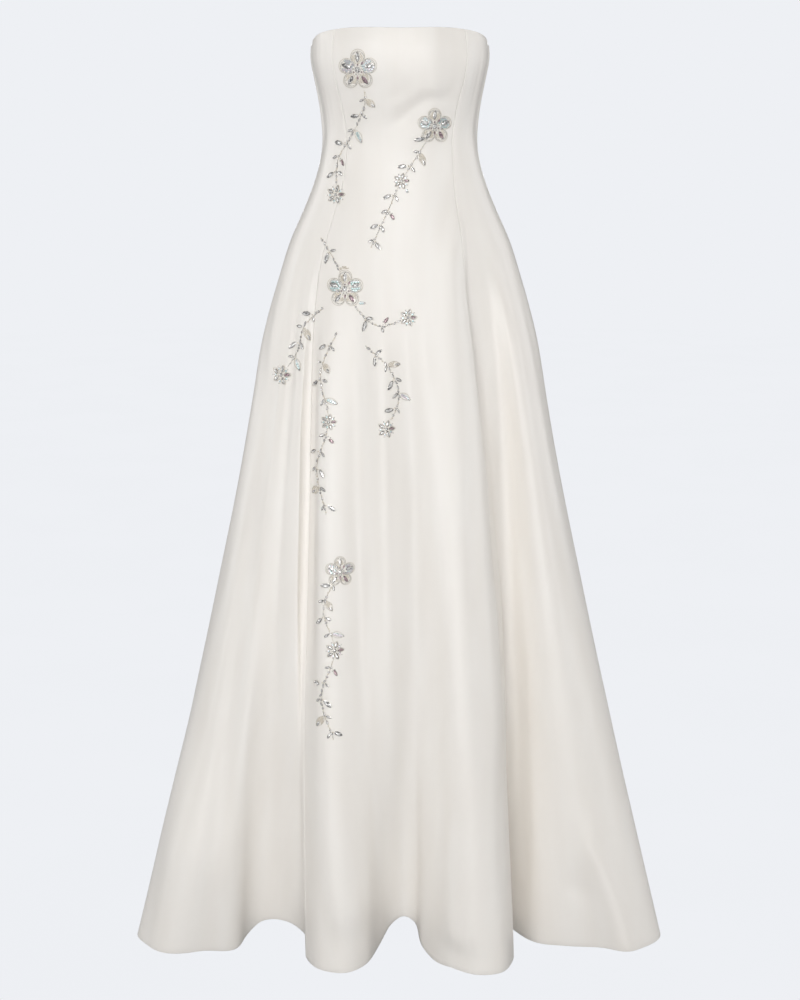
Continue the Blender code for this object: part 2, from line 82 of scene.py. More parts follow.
# Oval sections. square is the power of the oval: 2 is an ellipse, more is boxier.
Section = namedtuple("Section", "height half_width front back square")
SECTIONS = (
    Section(0.157, 0.1300, 0.112, 0.091, 2.3),
    Section(0.122, 0.1330, 0.116, 0.092, 2.3),
    Section(0.090, 0.1275, 0.112, 0.089, 2.3),
    Section(0.060, 0.1215, 0.101, 0.085, 2.3),
    Section(0.030, 0.1175, 0.092, 0.082, 2.3),
    Section(0.000, 0.1160, 0.088, 0.081, 2.3),
    Section(-0.030, 0.1200, 0.089, 0.085, 2.3),
    Section(-0.060, 0.1290, 0.093, 0.093, 2.2),
    Section(-0.095, 0.1430, 0.099, 0.105, 2.2),
    Section(-0.145, 0.1655, 0.109, 0.122, 2.1),
    Section(-0.200, 0.1835, 0.119, 0.135, 2.1),
    Section(-0.295, 0.2095, 0.136, 0.151, 2.0),
    Section(-0.385, 0.2255, 0.148, 0.163, 2.0),
    Section(-0.537, 0.2550, 0.165, 0.184, 2.0),
    Section(MID_SKIRT, 0.2900, 0.186, 0.206, 2.0),
    Section(-0.934, 0.3440, 0.214, 0.236, 2.0),
    Section(HEM, 0.4095, 0.248, 0.272, 2.0),
)

# Top edge: level over the bust, dipping under the arms and lower across the back
EdgePoint = namedtuple("EdgePoint", "angle height")
TOP_EDGE = (
    EdgePoint(0, 0.157),
    EdgePoint(44, 0.157),
    EdgePoint(68, 0.151),
    EdgePoint(90, 0.138),
    EdgePoint(120, 0.123),
    EdgePoint(180, 0.116),
)

# Seams, as angles round the dress from the centre front, positive towards +X
Seam = namedtuple("Seam", "name top waist hip")
SEAMS = (
    Seam("centre_back", -180, -180, -180),
    Seam("back_left", -136, -134, -132),
    Seam("side_left", -90, -90, -90),
    Seam("front_left", -48, -47, -54),
    Seam("front_right", 48, 46, 43),
    Seam("side_right", 90, 90, 90),
    Seam("back_right", 136, 134, 132),
    Seam("centre_back_end", 180, 180, 180),
)

# Folds, from the centre back round the left side, the front and the right side: name, seam, and in
# millimetres the plan place at mid-skirt, the plan place at the hem, and the lift of the hem
Fold = namedtuple("Fold", "name seam mid_x mid_y hem_x hem_y lift")
FOLDS = tuple(
    Fold(name, seam, *(size / 1000 for size in sizes))
    for name, seam, *sizes in (
        ("centre back pleat", "centre_back", 0, 207, 0, 325, 0),
        ("centre back pleat, left edge", "", -36, 203, -56, 310, 0),
        ("left back recess", "", -78, 180, -98, 222, 16),
        ("left back ridge, inner side", "", -115, 192, -148, 286, 0),
        ("left back ridge", "back_left", -152, 186, -210, 292, 0),
        ("left back ridge, outer side", "", -190, 160, -258, 232, 0),
        ("left side back recess", "", -226, 122, -300, 152, 16),
        ("left side back ridge, inner side", "", -262, 88, -370, 118, 0),
        ("left side back ridge", "", -286, 38, -405, 50, 0),
        ("left side recess", "side_left", -286, -15, -386, -50, 0),
        ("left flap, outer side", "", -290, -60, -402, -115, 0),
        ("left flap corner", "", -280, -100, -408, -162, 0),
        ("left flap", "", -262, -134, -372, -197, 0),
        ("left flap crest", "", -234, -157, -305, -204, 0),
        ("left flap, inner edge", "", -212, -162, -247, -197, 0),
        ("left flap turn", "", -199, -158, -233, -176, 10),
        ("left recess", "", -186, -154, -215, -164, 23),
        ("left recess, inner side", "", -168, -162, -171, -164, 23),
        ("left ridge foot", "", -153, -172, -149, -180, 14),
        ("left ridge edge", "front_left", -139, -170, -141, -236, 0),
        ("left ridge crest", "", -114, -197, -118, -270, 0),
        ("left ridge", "", -86, -199, -81, -279, 0),
        ("left ridge, inner side", "", -60, -191, -52, -254, 0),
        ("centre rise", "", -37, -194, -31, -212, 11),
        ("centre recess, left side", "", -18, -193, -13, -190, 34),
        ("centre recess", "", 0, -187, 7, -180, 42),
        ("centre recess, right side", "", 16, -185, 23, -188, 35),
        ("right ridge rise", "", 31, -188, 32, -212, 12),
        ("right ridge, inner side", "", 50, -199, 46, -229, 0),
        ("right ridge shoulder", "", 76, -209, 80, -265, 0),
        ("right ridge crest", "", 104, -207, 115, -285, 0),
        ("right ridge tip", "", 130, -194, 150, -279, 0),
        ("right ridge edge", "front_right", 145, -168, 172, -236, 0),
        ("right ridge flank", "", 152, -134, 171, -190, 0),
        ("right recess", "", 157, -108, 162, -132, 10),
        ("right flap, inner edge", "", 171, -108, 184, -152, 0),
        ("right flap rise", "", 189, -126, 211, -184, 0),
        ("right flap crest", "", 212, -141, 255, -195, 0),
        ("right flap", "", 240, -141, 308, -200, 0),
        ("right flap, outer side", "", 264, -122, 352, -208, 0),
        ("right flap corner", "", 284, -86, 404, -168, 0),
        ("right flap, side face", "", 290, -50, 403, -112, 0),
        ("right side recess", "side_right", 286, -12, 386, -50, 0),
        ("right side back ridge", "", 287, 40, 406, 52, 0),
        ("right side back ridge, inner side", "", 264, 90, 372, 122, 0),
        ("right side back recess", "", 228, 124, 302, 150, 16),
        ("right back ridge, outer side", "", 192, 162, 262, 228, 0),
        ("right back ridge", "back_right", 154, 188, 216, 296, 0),
        ("right back ridge, inner side", "", 117, 194, 154, 290, 0),
        ("right back recess", "", 80, 182, 103, 226, 16),
        ("centre back pleat, right edge", "", 36, 203, 56, 312, 0),
        ("centre back pleat", "centre_back_end", 0, 207, 0, 325, 0),
    )
)

# Creases of the satin, in millimetres: points (across, height) from the top down, seen square on from one
# side of the dress. rise is how far the cloth stands out, or sinks in where it is negative. left and right
# are how far the crease reaches to each side of its line. starts and ends are the shares of its length that
# it fades over.
Crease = namedtuple("Crease", "name side rise left right starts ends points")
CREASES = tuple(
    Crease(name, side, rise / 1000, left / 1000, right / 1000, starts, ends, np.array(points) / 1000)
    for name, side, rise, left, right, starts, ends, points in (
        ("bodice right turn", "front", 3.6, 30, 22, 0.12, 0.4,
         ((52, 160), (52, 100), (46, 50), (40, 10), (38, -30))),
        ("bodice right princess line", "front", 3, 13, 18, 0.12, 0.3,
         ((92, 160), (93, 79), (84, 30), (78, -12), (80, -55), (89, -105))),
        ("bodice left turn", "front", 3, 22, 30, 0.12, 0.4,
         ((-56, 160), (-56, 100), (-52, 50), (-50, 0))),
        ("bodice left princess line", "front", 3, 18, 13, 0.12, 0.3,
         ((-91, 160), (-88, 100), (-82, 50), (-80, 10), (-84, -30), (-92, -60))),
        ("bodice right side hollow", "front", -4, 24, 22, 0.12, 0.35,
         ((122, 160), (120, 100), (114, 50), (110, 10), (112, -30))),
        ("bodice left side hollow", "front", -4, 22, 24, 0.12, 0.35,
         ((-122, 160), (-120, 100), (-114, 50), (-110, 10), (-112, -30))),
        ("bust drag, hollow", "front", -2.5, 8, 8, 0.2, 0.3,
         ((80, 64), (58, 61), (37, 59), (18, 47), (-2, 30), (-37, 10))),
        ("bust drag, ridge", "front", 1.4, 8, 8, 0.2, 0.3,
         ((73, 75), (47, 75), (26, 71), (6, 59), (-14, 47), (-31, 38))),
        ("upper bust hollow", "front", -1, 11, 11, 0.4, 0.4,
         ((4, 96), (-14, 90), (-31, 80), (-45, 66))),
        ("ribs ridge", "front", 1.2, 12, 12, 0.4, 0.4,
         ((59, 19), (30, 13), (7, -1), (-14, -21))),
        ("left flap line", "front", -8, 15, 30, 0.2, 0.3,
         ((-183, -270), (-198, -360), (-214, -487), (-231, -614), (-247, -746), (-262, -880), (-279, -1017),
          (-291, -1100))),
        ("left recess floor", "front", -4, 20, 26, 0.3, 0.0,
         ((-200, -760), (-212, -880), (-218, -1000), (-222, -1110), (-225, -1210))),
        ("left flap corner", "front", 20, 32, 50, 0.5, 0.0,
         ((-300, -860), (-322, -1020), (-340, -1128), (-354, -1215))),
        ("left flap inner turn", "front", 1.6, 30, 14, 0.5, 0.0,
         ((-269, -940), (-261, -1067), (-260, -1131), (-263, -1215))),
        ("left inner ridge", "front", 4.8, 30, 18, 0.3, 0.2,
         ((-160, -300), (-168, -480), (-170, -666), (-172, -817), (-176, -990))),
        ("left seam hollow", "front", -5.2, 30, 10, 0.3, 0.3,
         ((-118, -200), (-128, -380), (-130, -520), (-131, -700), (-131, -900))),
        ("left crest", "front", 7, 18, 40, 0.25, 0.1,
         ((-109, -210), (-108, -370), (-109, -659), (-104, -952), (-97, -1071), (-81, -1170))),
        ("centre line", "front", 5, 18, 22, 0.3, 0.3,
         ((-36, -240), (-28, -331), (-20, -565), (-10, -810), (-8, -934), (-12, -1110))),
        ("centre hollow", "front", -1.8, 25, 25, 0.3, 0.2,
         ((14, -330), (25, -514), (30, -661), (34, -812), (36, -1000))),
        ("right crest", "front", 5, 22, 13, 0.15, 0.4,
         ((68, -100), (76, -226), (88, -368), (91, -520), (92, -780))),
        ("right crest, lower fall", "front", 7.5, 18, 32, 0.4, 0.05,
         ((84, -540), (84, -780), (85, -940), (86, -1190))),
        ("right seam edge", "front", 4.4, 16, 6, 0.15, 0.3,
         ((82, -80), (90, -155), (97, -217), (114, -372), (128, -491), (142, -660))),
        ("right recess edge", "front", -4, 10, 20, 0.3, 0.5,
         ((150, -820), (150, -960), (154, -1080), (158, -1200))),
        ("right hollow", "front", -9.5, 14, 44, 0.2, 0.5,
         ((94, -130), (108, -228), (122, -330), (135, -450), (147, -600), (153, -700))),
        ("right corner crease", "front", 8, 24, 16, 0.3, 0.0,
         ((280, -960), (294, -1046), (306, -1084), (319, -1118), (330, -1146), (350, -1212))),
        ("right dimple", "front", -2, 16, 18, 0.4, 0.5,
         ((242, -1104), (261, -1114), (279, -1125), (302, -1155))),
        ("right pinch", "front", -2.4, 6, 6, 0.3, 0.5,
         ((295, -1040), (301, -1052), (311, -1066))),
        ("back left ridge", "back", 4.2, 20, 20, 0.3, 0.1,
         ((-96, -230), (-130, -500), (-152, -700), (-180, -950), (-205, -1215))),
        ("back left hollow", "back", -5, 18, 18, 0.4, 0.2,
         ((-60, -300), (-72, -550), (-85, -850), (-97, -1150))),
        ("back right ridge", "back", 4.6, 20, 18, 0.3, 0.1,
         ((100, -260), (128, -480), (156, -720), (184, -960), (210, -1215))),
        ("back right hollow", "back", -4.8, 18, 20, 0.3, 0.2,
         ((56, -270), (75, -600), (90, -900), (101, -1160))),
        ("pleat left fold", "back", 3, 12, 12, 0.4, 0.1,
         ((-22, -300), (-30, -520), (-40, -820), (-53, -1170))),
        ("pleat right fold", "back", 3.2, 12, 12, 0.4, 0.1,
         ((22, -280), (31, -560), (41, -830), (53, -1180))),
        ("back waist drag, left", "back", -1.4, 8, 8, 0.4, 0.5,
         ((-30, -20), (-55, -34), (-84, -60))),
        ("back waist drag, right", "back", -1.3, 8, 9, 0.4, 0.5,
         ((32, -12), (58, -28), (82, -48))),
        ("left side ridge", "left", 4, 18, 20, 0.4, 0.1,
         ((22, -300), (34, -560), (44, -860), (50, -1215))),
        ("left side hollow", "left", -4.2, 18, 18, 0.4, 0.2,
         ((-20, -340), (-24, -700), (-46, -1160))),
        ("left side back hollow", "left", -4, 20, 18, 0.4, 0.2,
         ((82, -380), (112, -720), (150, -1140))),
        ("right side ridge", "right", 4.2, 20, 18, 0.4, 0.1,
         ((20, -260), (36, -580), (45, -880), (52, -1215))),
        ("right side hollow", "right", -3.8, 18, 18, 0.4, 0.2,
         ((-16, -360), (-22, -740), (-48, -1150))),
        ("right side back hollow", "right", -4.2, 18, 20, 0.4, 0.2,
         ((86, -360), (118, -760), (150, -1150))),
    )
)
CREASE_SAMPLES = 24
CREASE_FADE_FROM_SIDE = 0.015

# Which way each side of the dress faces, and which plan direction its creases are measured across
Facing = namedtuple("Facing", "facing across")
FACINGS = {
    "front": Facing((0, -1), (1, 0)),
    "back": Facing((0, 1), (1, 0)),
    "left": Facing((-1, 0), (0, 1)),
    "right": Facing((1, 0), (0, 1)),
}

# Panels between two seams, with the cut: its width at the hem, its length and its flat area in square metres
Panel = namedtuple("Panel", "name start end cut_width cut_length cut_area")
PANELS = (
    Panel("centre_back_left", "centre_back", "back_left", 0.304, 1.344, 0.210),
    Panel("side_back_left", "back_left", "side_left", 0.429, 1.365, 0.305),
    Panel("side_front_left", "side_left", "front_left", 0.479, 1.385, 0.312),
    Panel("centre_front", "front_left", "front_right", 0.483, 1.379, 0.408),
    Panel("side_front_right", "front_right", "side_right", 0.509, 1.385, 0.349),
    Panel("side_back_right", "side_right", "back_right", 0.433, 1.365, 0.305),
    Panel("centre_back_right", "back_right", "centre_back_end", 0.305, 1.345, 0.210),
)

# Fineness of the panels' rows and columns, in metres, with closer columns beside a seam
BODICE_ROW = 0.006
SKIRT_ROW = 0.0075
COLUMN = 0.006
BESIDE_SEAM = (0.0, 0.0008, 0.0018, 0.0032, 0.0055, 0.009)
WIDTH_READINGS = 33
RIM_STEPS = 4

# Seams: the stitched line pulls the cloth in, and the pressed allowance lifts it a little on each side
SEWN_EDGE_GAP = 0.00006
SEAM_DIP = 0.0005
SEAM_DIP_REACH = 0.0010
SEAM_LIP = 0.00015
SEAM_LIP_AT = 0.0036
SEAM_LIP_REACH = 0.0020

# Turnings inside the dress
ALLOWANCE_COLUMNS = 8
HEM_ROWS = round(0.040 / SKIRT_ROW)
TOP_ROWS = round(0.012 / BODICE_ROW)
TURNING_THICKNESS = 0.0006
TURNING_GAP = 0.0002
STITCH_THREAD = 0.00035
TUBE_SIDES = 4
# Slanted catch stitches hold the top of the hem turning. Running stitches under the top edge keep its turning
# from rolling out. slant is how far a stitch's ends lie above and below its middle.
Stitch = namedtuple("Stitch", "start step length slant points")
HEM_STITCH = Stitch(0.004, 0.008, 0.0032, 0.0008, 4)
UNDERSTITCH = Stitch(0.0, 0.0042, 0.0030, 0.0, 3)

# Zip
ZIP_END = -0.225
ZIP_TOP_LEVEL = 0.93
TAPE_DEPTH = 0.001
METAL_ROUNDING = 0.0003
COIL_STEP = 0.0016
COIL_REACH = 0.0022
COIL_WIRE = 0.00038
COIL_RISE = 1.6
COIL_OFFSET = 0.25
COIL_OVERRUN = 0.2
COIL_POINTS = 6

# The cloth lies flat beside the zip, and its unevenness comes back over these distances
ZIP_FLAT = 0.008
ZIP_FLAT_FADE = 0.02
ZIP_END_FADE = 0.03

# Sprays on the same stems as in the solids, in millimetres in front view: name, stem (x, height), number of
# leaves, and blossoms (x, height, size)
Blossom = namedtuple("Blossom", "x height size")
Spray = namedtuple("Spray", "name stem leaves blossoms")
SPRAYS = tuple(
    Spray(name, np.array(stem) / 1000, leaves, [Blossom(*(size / 1000 for size in one)) for one in blossoms])
    for name, stem, leaves, blossoms in (
        ("spray_bust", ((-60, 100), (-50, 60), (-66, 16), (-90, -24), (-94, -76)),
         8, ((-60, 100, 56), (-94, -76, 28))),
        ("spray_waist", ((50, 22), (30, -12), (2, -56), (-20, -104), (-42, -150)),
         8, ((50, 22, 50), (2, -56, 24))),
        ("spray_hip", ((-116, -138), (-92, -176), (-72, -226), (-30, -262), (12, -250)),
         7, ((-80, -210, 54), (12, -250, 26))),
        ("spray_side", ((-112, -238), (-140, -264), (-152, -304), (-176, -338)),
         5, ((-176, -338, 30),)),
        ("spray_thigh", ((-50, -290), (-16, -322), (-2, -366), (-20, -408)),
         6, ((-20, -408, 26),)),
        ("spray_trail", ((-92, -272), (-116, -330), (-104, -400), (-122, -470), (-108, -532)),
         10, ((-104, -400, 24),)),
        ("spray_skirt", ((-88, -616), (-112, -668), (-96, -730), (-116, -800), (-98, -860)),
         10, ((-88, -616, 44), (-96, -730, 28))),
    )
)

# Stems. The shares of a stem's beads are added up: pointed stones, round stones, silver seed beads, and the
# rest cream.
STEM_SAMPLE = 0.001
STEM_THREAD_STEP = 0.003
STEM_WANDER = 0.0007
STEM_MARQUISES = 0.20
STEM_STONES = 0.40
STEM_SILVER = 0.70
STEM_MARQUISE = 0.0068
STEM_MARQUISE_WIDTH = 0.46
STEM_MARQUISE_SIZES = (0.8, 1.1)
STEM_ROUND = 0.0034
STEM_SEED_SIZES = (0.85, 1.15)
STEM_GAPS = (0.0001, 0.0010)
STEM_LEAN = 0.6

# Stones, beads and sequins
STONES = ("marquise", "round")
MARQUISE_WIDTH = 0.0066
STONE_HEIGHT = 0.0028
LEAST_STONE_HEIGHT = 0.3
SEED_HEIGHT = 0.8
SEED_SIZES = (0.88, 1.05)
SEQUIN_SIZES = (0.9, 1.05)
SEQUIN_THICKNESS = 0.0007
LENS_POINTEDNESS = 0.45
THREAD_WIDTH = 0.0008
THREAD_RISE = 0.35
BEFORE_DRESS = -1.0
FULL_TURN = 6.28
NEARLY_LEVEL = 1e-12
BEAD_SEED = 7

# Parts of leaves and blossoms. Where they lie is a share of the leaf's length or the blossom's radius. Their
# sizes are such shares too, or metres where they are below 0.01.
Part = namedtuple("Part", "at length width")

# Leaves: how they stand on the stem, their outline, and a companion stone across from each
LEAF_KINDS = ("stone", "cream", "stone", "sequins", "stone", "plum", "stone")
LEAF_LENGTH = 0.020
LEAF_LENGTHS = (0.80, 1.04)
LEAF_WIDTH = 0.009
LEAF_TURN = math.radians(52)
LEAF_STALK = 0.002
LEAF_LEAN = 0.25
LEAF_FROM_START = 0.8
LEAF_FROM_END = 0.5
LEAF_OUTLINE_POINTS = 12
LEAF_ROUNDNESS = 0.8
LEAF_FULLNESS = 0.3
COMPANION_TURNS = (0.6, 1.3)
COMPANION_SIZES = (0.5, 0.75)
COMPANION_GAP = 0.0014

# A stone leaf, a plum leaf with three seed beads at its foot, a cream leaf and a leaf of sequins
LEAF_STONE_AT = 0.52
LEAF_STONE_SIZES = (0.84, 1.1)
ROOT_SEED_AT = 0.06
PLUM_LENGTH = 0.72
PLUM_WIDTH = 0.7
PLUM_LEAF_SEEDS = ((0.1, 0.0), (0.28, 1.0), (0.28, -1.0))
CREAM_LEAF_STONE = Part(0.74, 0.40, 0.0038)
CREAM_LEAF_REACHES = (0.60, 0.74, 0.88)
CREAM_LEAF_CLEAR = 0.0024
CREAM_LEAF_SCALE = 0.9
LEAF_PITCH = 1.1
LEAF_SEQUINS_AT = (0.24, 0.42, 0.60, 0.77)
LEAF_SEQUIN = 1.05
LEAF_WIDEST = 0.45
LEAF_SEQUIN_THICKNESS = 0.0008
LEAF_TIP_AT = 0.92
LEAF_TIP_STONE = 0.0032

# Blossoms. A scale is a share of the petals' outline, and a pitch is a share of a bead's width.
PETALS = 5
PETAL_WAIST = 0.5
PETAL_ROUNDNESS = 0.55
PETAL_OUTLINE_POINTS = 100
LARGE_BLOSSOM = 0.040
BLOSSOM_CLEAR = 0.001
PETAL_STONE = Part(0.62, 0.50, 0.235)
PETAL_STONE_REACHES = (-0.15, -0.05, 0.05, 0.15)
PETAL_STONE_CLEAR = 0.115
WAIST_STONE = Part(0.40, 0.0066, 0.0030)
WAIST_STONE_CLEAR = 0.0026
EDGE_SCALE = 0.90
EDGE_PITCH = 1.06
CREAM_SCALE = 0.80
CREAM_PITCH = 1.12
SEQUIN_PETALS = (1, 4)
SEQUIN_SCALE = 0.84
SEQUIN_PITCH = 0.72
LARGE_CENTRE_STONE = 0.30
LARGE_CENTRE_TURN = 0.2
CENTRE_ROUNDS = 9
CENTRE_ROUND = 0.0026
CENTRE_ROUND_AT = 0.235
SMALL_TURN = 0.2
SMALL_STONE = Part(0.60, 0.66, 0.30)
SMALL_SEQUIN = 0.8
SMALL_SEQUIN_AT = 0.62
SMALL_SEED_AT = 0.86
SMALL_OUTLINE = Part(0.22, 0.80, 0.46)
SMALL_CENTRE_STONE = 0.34
SMALL_CENTRE_TURN = 0.3

# Patterns of the finishes, in repeats a metre. The satin's slubs are 4 mm by 70 mm and its mottle 40 mm by
# 200 mm, the mottle of its wrong side is 70 mm, and wear on a hard finish is 1.1 mm.
SLUBS_PER_METRE = (260, 14, 1)
MOTTLE_PER_METRE = (24, 5, 1)
WRONG_MOTTLE_PER_METRE = 14.0
WEAR_PER_METRE = 900.0
FLOOR_MOTTLE_PER_METRE = 3.0
# How fast the beads' painted facet reflections change with the facets' direction.
FACET_REFLECTION_SPREAD = 3.7
WAVE_PHASE_PER_UNIT = 20

# Soft boxes round the dress, each with its place, its width and height, and its share of the light
StudioLight = namedtuple("StudioLight", "name place size share")
STUDIO_LIGHTS = (
    StudioLight("front_light", (0.0, -3.4, 0.7), (2.0, 2.0), 0.236),
    StudioLight("front_left_light", (-1.7, -2.9, 0.6), (1.4, 2.4), 0.088),
    StudioLight("left_light", (-3.2, -0.9, 0.2), (1.2, 2.4), 0.082),
    StudioLight("right_light", (3.2, -0.9, 0.2), (1.2, 2.4), 0.118),
    StudioLight("top_light", (0.0, -2.0, 2.8), (2.0, 2.0), 0.120),
    StudioLight("low_front_light", (0.0, -3.2, -1.0), (2.4, 0.8), 0.095),
    StudioLight("back_left_light", (-2.8, 1.4, 0.4), (1.2, 2.4), 0.134),
    StudioLight("back_right_light", (2.8, 1.4, 0.4), (1.2, 2.4), 0.128),
    StudioLight("back_light", (0.0, 3.6, 0.8), (2.0, 2.0), 0.26),
)
LIT_POINT = (0.0, 0.0, -0.45)

# Studio floor
FLOOR_RADIUS = 9.0
FLOOR_SIDES = 64

# Camera at waist height, tilted down to the middle of the skirt
CAMERA_PLACE = (0, -2.5, -0.0117)
CAMERA_TILT = math.radians(12.135)
CAMERA_LENS = 58.6
CAMERA_SENSOR = 36


def through(stations, values, at):
    """Values read at places along a smooth curve through every station."""
    stations = np.asarray(stations, float)
    values = np.asarray(values, float)
    slopes = np.gradient(values, stations, axis=0)
    at = np.clip(at, stations[0], stations[-1])
    low = np.clip(np.searchsorted(stations, at, side="right") - 1, 0, len(stations) - 2)
    width = stations[low + 1] - stations[low]
    share = (at - stations[low]) / width
    if values.ndim > 1:
        share = share[..., None]
        width = width[..., None]
    return (
        values[low] * (1 + 2 * share) * (1 - share) ** 2
        + slopes[low] * width * share * (1 - share) ** 2
        + values[low + 1] * (3 - 2 * share) * share**2
        - slopes[low + 1] * width * share**2 * (1 - share)
    )


def run_lengths(line):
    """Length along a line of points up to each of them."""
    return np.concatenate([[0], np.cumsum(np.linalg.norm(np.diff(line, axis=0), axis=1))])


def column(rows, name):
    return np.array([getattr(row, name) for row in rows], float)


def section_size(name, height):
    return through(column(SECTIONS, "height")[::-1], column(SECTIONS, name)[::-1], height)


def oval(angle, height):
    """Plan position on the plain section at a height."""
    across = np.sin(angle)
    ahead = np.cos(angle)
    depth = np.where(ahead > 0, section_size("front", height), section_size("back", height))
    power = section_size("square", height)
    reach = (
        np.abs(across / section_size("half_width", height)) ** power + np.abs(ahead / depth) ** power
    ) ** (-1 / power)
    return np.stack([reach * across, -reach * ahead], axis=-1)


# Places round the dress are metres along the hem, from chord to chord of the folds.
FOLD_PLACES = run_lengths(np.stack([column(FOLDS, "hem_x"), column(FOLDS, "hem_y")], axis=1))
SEAM_PLACES = {fold.seam: place for fold, place in zip(FOLDS, FOLD_PLACES) if fold.seam}
ROUND = FOLD_PLACES[-1]


def round_curve(values, place):
    """A closed smooth curve through one value for each fold."""
    before = slice(-4, -1)
    after = slice(1, 4)
    places = np.concatenate([FOLD_PLACES[before] - ROUND, FOLD_PLACES, FOLD_PLACES[after] + ROUND])
    padded = np.concatenate([values[before], values, values[after]])
    return through(places, padded, place)


def angle_at(place, level):
    """Angle round the dress of a place, which shifts with height where the seams do."""
    seam_places = [SEAM_PLACES[seam.name] for seam in SEAMS]
    angles = {name: np.interp(place, seam_places, column(SEAMS, name)) for name in ("top", "waist", "hip")}
    up = np.clip(level, 0, 1)
    down = np.clip(level / HIP, 0, 1)
    down = down * down * (3 - 2 * down)
    return np.radians(
        angles["waist"] + up * (angles["top"] - angles["waist"]) + down * (angles["hip"] - angles["waist"])
    )


def fold_weights(height):
    """How much of the mid-skirt fold and of the hem fold a height takes."""
    fall = np.clip((FOLDS_START - height) / (FOLDS_START - HEM), 0, 1)
    fall = fall * fall * (1 + FOLDS_SOFTNESS) / (fall + FOLDS_SOFTNESS)
    middle = (FOLDS_START - MID_SKIRT) / (FOLDS_START - HEM)
    at_middle = fall * (1 - fall) / (middle * (1 - middle))
    at_hem = fall * (fall - middle) / (1 - middle)
    return at_middle, at_hem


def surface(place, level):
    """Point of the plain cloth's outer face at a place round the dress and a level on it.

    Above 0 a level is a share of the top edge's height, and below it metres.
    """
    place, level = np.broadcast_arrays(np.asarray(place, float), np.asarray(level, float))
    angle = angle_at(place, level)
    edge = through(column(TOP_EDGE, "angle"), column(TOP_EDGE, "height"), np.abs(np.degrees(angle)))
    height = np.where(level > 0, level * edge, level)
    plan = oval(angle, height)
    for weight, stem, at in zip(fold_weights(height), ("mid", "hem"), (MID_SKIRT, HEM)):
        wanted = np.stack(
            [round_curve(column(FOLDS, stem + "_x"), place), round_curve(column(FOLDS, stem + "_y"), place)],
            axis=-1,
        )
        plain = oval(angle_at(place, np.full_like(place, HIP)), np.full_like(height, at))
        plan = plan + weight[..., None] * (wanted - plain)
    lift = round_curve(column(FOLDS, "lift"), place) * fold_weights(height)[1]
    return np.concatenate([plan, (height + lift)[..., None]], axis=-1)


def unit(vectors):
    return vectors / np.linalg.norm(vectors, axis=-1, keepdims=True)


READING_STEP = 0.0005


def directions(place, level):
    """Unit vectors out of the cloth, along it round the dress, and up it."""
    along = surface(place + READING_STEP, level) - surface(place - READING_STEP, level)
    low = np.maximum(level - 2 * READING_STEP, HEM)
    high = np.minimum(level + 2 * READING_STEP, 1.0)
    up = surface(place, high) - surface(place, low)
    return unit(np.cross(along, up)), unit(along), unit(up)


def smooth(share):
    share = np.clip(share, 0, 1)
    return share * share * (3 - 2 * share)


def crease_lift(points):
    """How far all creases together lift the cloth at points on it."""
    total = np.zeros(points.shape[:-1])
    for crease in CREASES:
        side = FACINGS[crease.side]
        seen = np.stack([points[..., :2] @ np.array(side.across, float), points[..., 2]], axis=-1)
        stations = np.linspace(0, 1, len(crease.points))
        line = through(stations, crease.points, np.linspace(0, 1, CREASE_SAMPLES))
        near = (
            (seen[..., 0] > line[:, 0].min() - 3 * crease.left)
            & (seen[..., 0] < line[:, 0].max() + 3 * crease.right)
            & (seen[..., 1] > line[:, 1].min() - 3 * crease.right)
            & (seen[..., 1] < line[:, 1].max() + 3 * crease.left)
            & (points[..., :2] @ np.array(side.facing, float) > 0)
        )
        if not near.any():
            continue
        total[near] += crease_profile(crease, line, seen[near]) * smooth(
            points[near][:, :2] @ np.array(side.facing, float) / CREASE_FADE_FROM_SIDE
        )
    return total


def crease_profile(crease, line, seen):
    """Rise of one crease at points in its view, from their distance to the nearest stretch of its line."""
    starts, runs = line[:-1], np.diff(line, axis=0)
    lengths = np.linalg.norm(runs, axis=1)
    offset = seen[:, None] - starts
    share = np.clip((offset * runs).sum(axis=-1) / lengths**2, 0, 1)
    away = offset - share[..., None] * runs
    distance = np.linalg.norm(away, axis=-1)
    nearest = distance.argmin(axis=1)
    pick = np.arange(len(seen)), nearest
    position = (nearest + share[pick]) / len(runs)
    on_right = runs[nearest, 0] * away[pick][:, 1] - runs[nearest, 1] * away[pick][:, 0] > 0
    reach = np.where(on_right, crease.right, crease.left)
    fade = np.ones(len(seen))
    if crease.starts:
        fade *= smooth(position / crease.starts)
    if crease.ends:
        fade *= smooth((1 - position) / crease.ends)
    return crease.rise * fade * np.exp(-((distance[pick] / reach) ** 2))


# Broad unevenness of heavy satin: rise, wavelength round the dress, wavelength down it, and phase
Swell = namedtuple("Swell", "rise round down phase")
SWELLS = (
    Swell(0.00030, 0.31, 0.52, 0.7),
    Swell(0.00016, 0.17, 0.33, 2.1),
    Swell(0.00008, 0.083, 0.19, 4.4),
)


def unevenness(place, height):
    """Low swells all over the cloth, which repeat exactly once round the dress."""
    total = 0
    for swell in SWELLS:
        waves = max(1, round(ROUND / swell.round))
        total = total + swell.rise * np.sin(2 * np.pi * waves * place / ROUND + swell.phase) * np.sin(
            2 * np.pi * height / swell.down + swell.phase * 2 + np.sin(2 * np.pi * place / ROUND)
        )
    return total


def seam_profile(distance):
    """Lift of the cloth at a distance from a seam."""
    dip = -SEAM_DIP * np.exp(-((distance / SEAM_DIP_REACH) ** 2))
    lip = SEAM_LIP * np.exp(-(((distance - SEAM_LIP_AT) / SEAM_LIP_REACH) ** 2))
    return dip + lip


def rows_between(top, bottom, step):
    return np.linspace(top, bottom, max(2, round(abs(top - bottom) / step) + 1))


def panel_levels():
    bodice = rows_between(1.0, 0.0, BODICE_ROW / TOP_EDGE[0].height)
    skirt = rows_between(0.0, HEM, SKIRT_ROW)
    return np.concatenate([bodice[:-1], skirt])


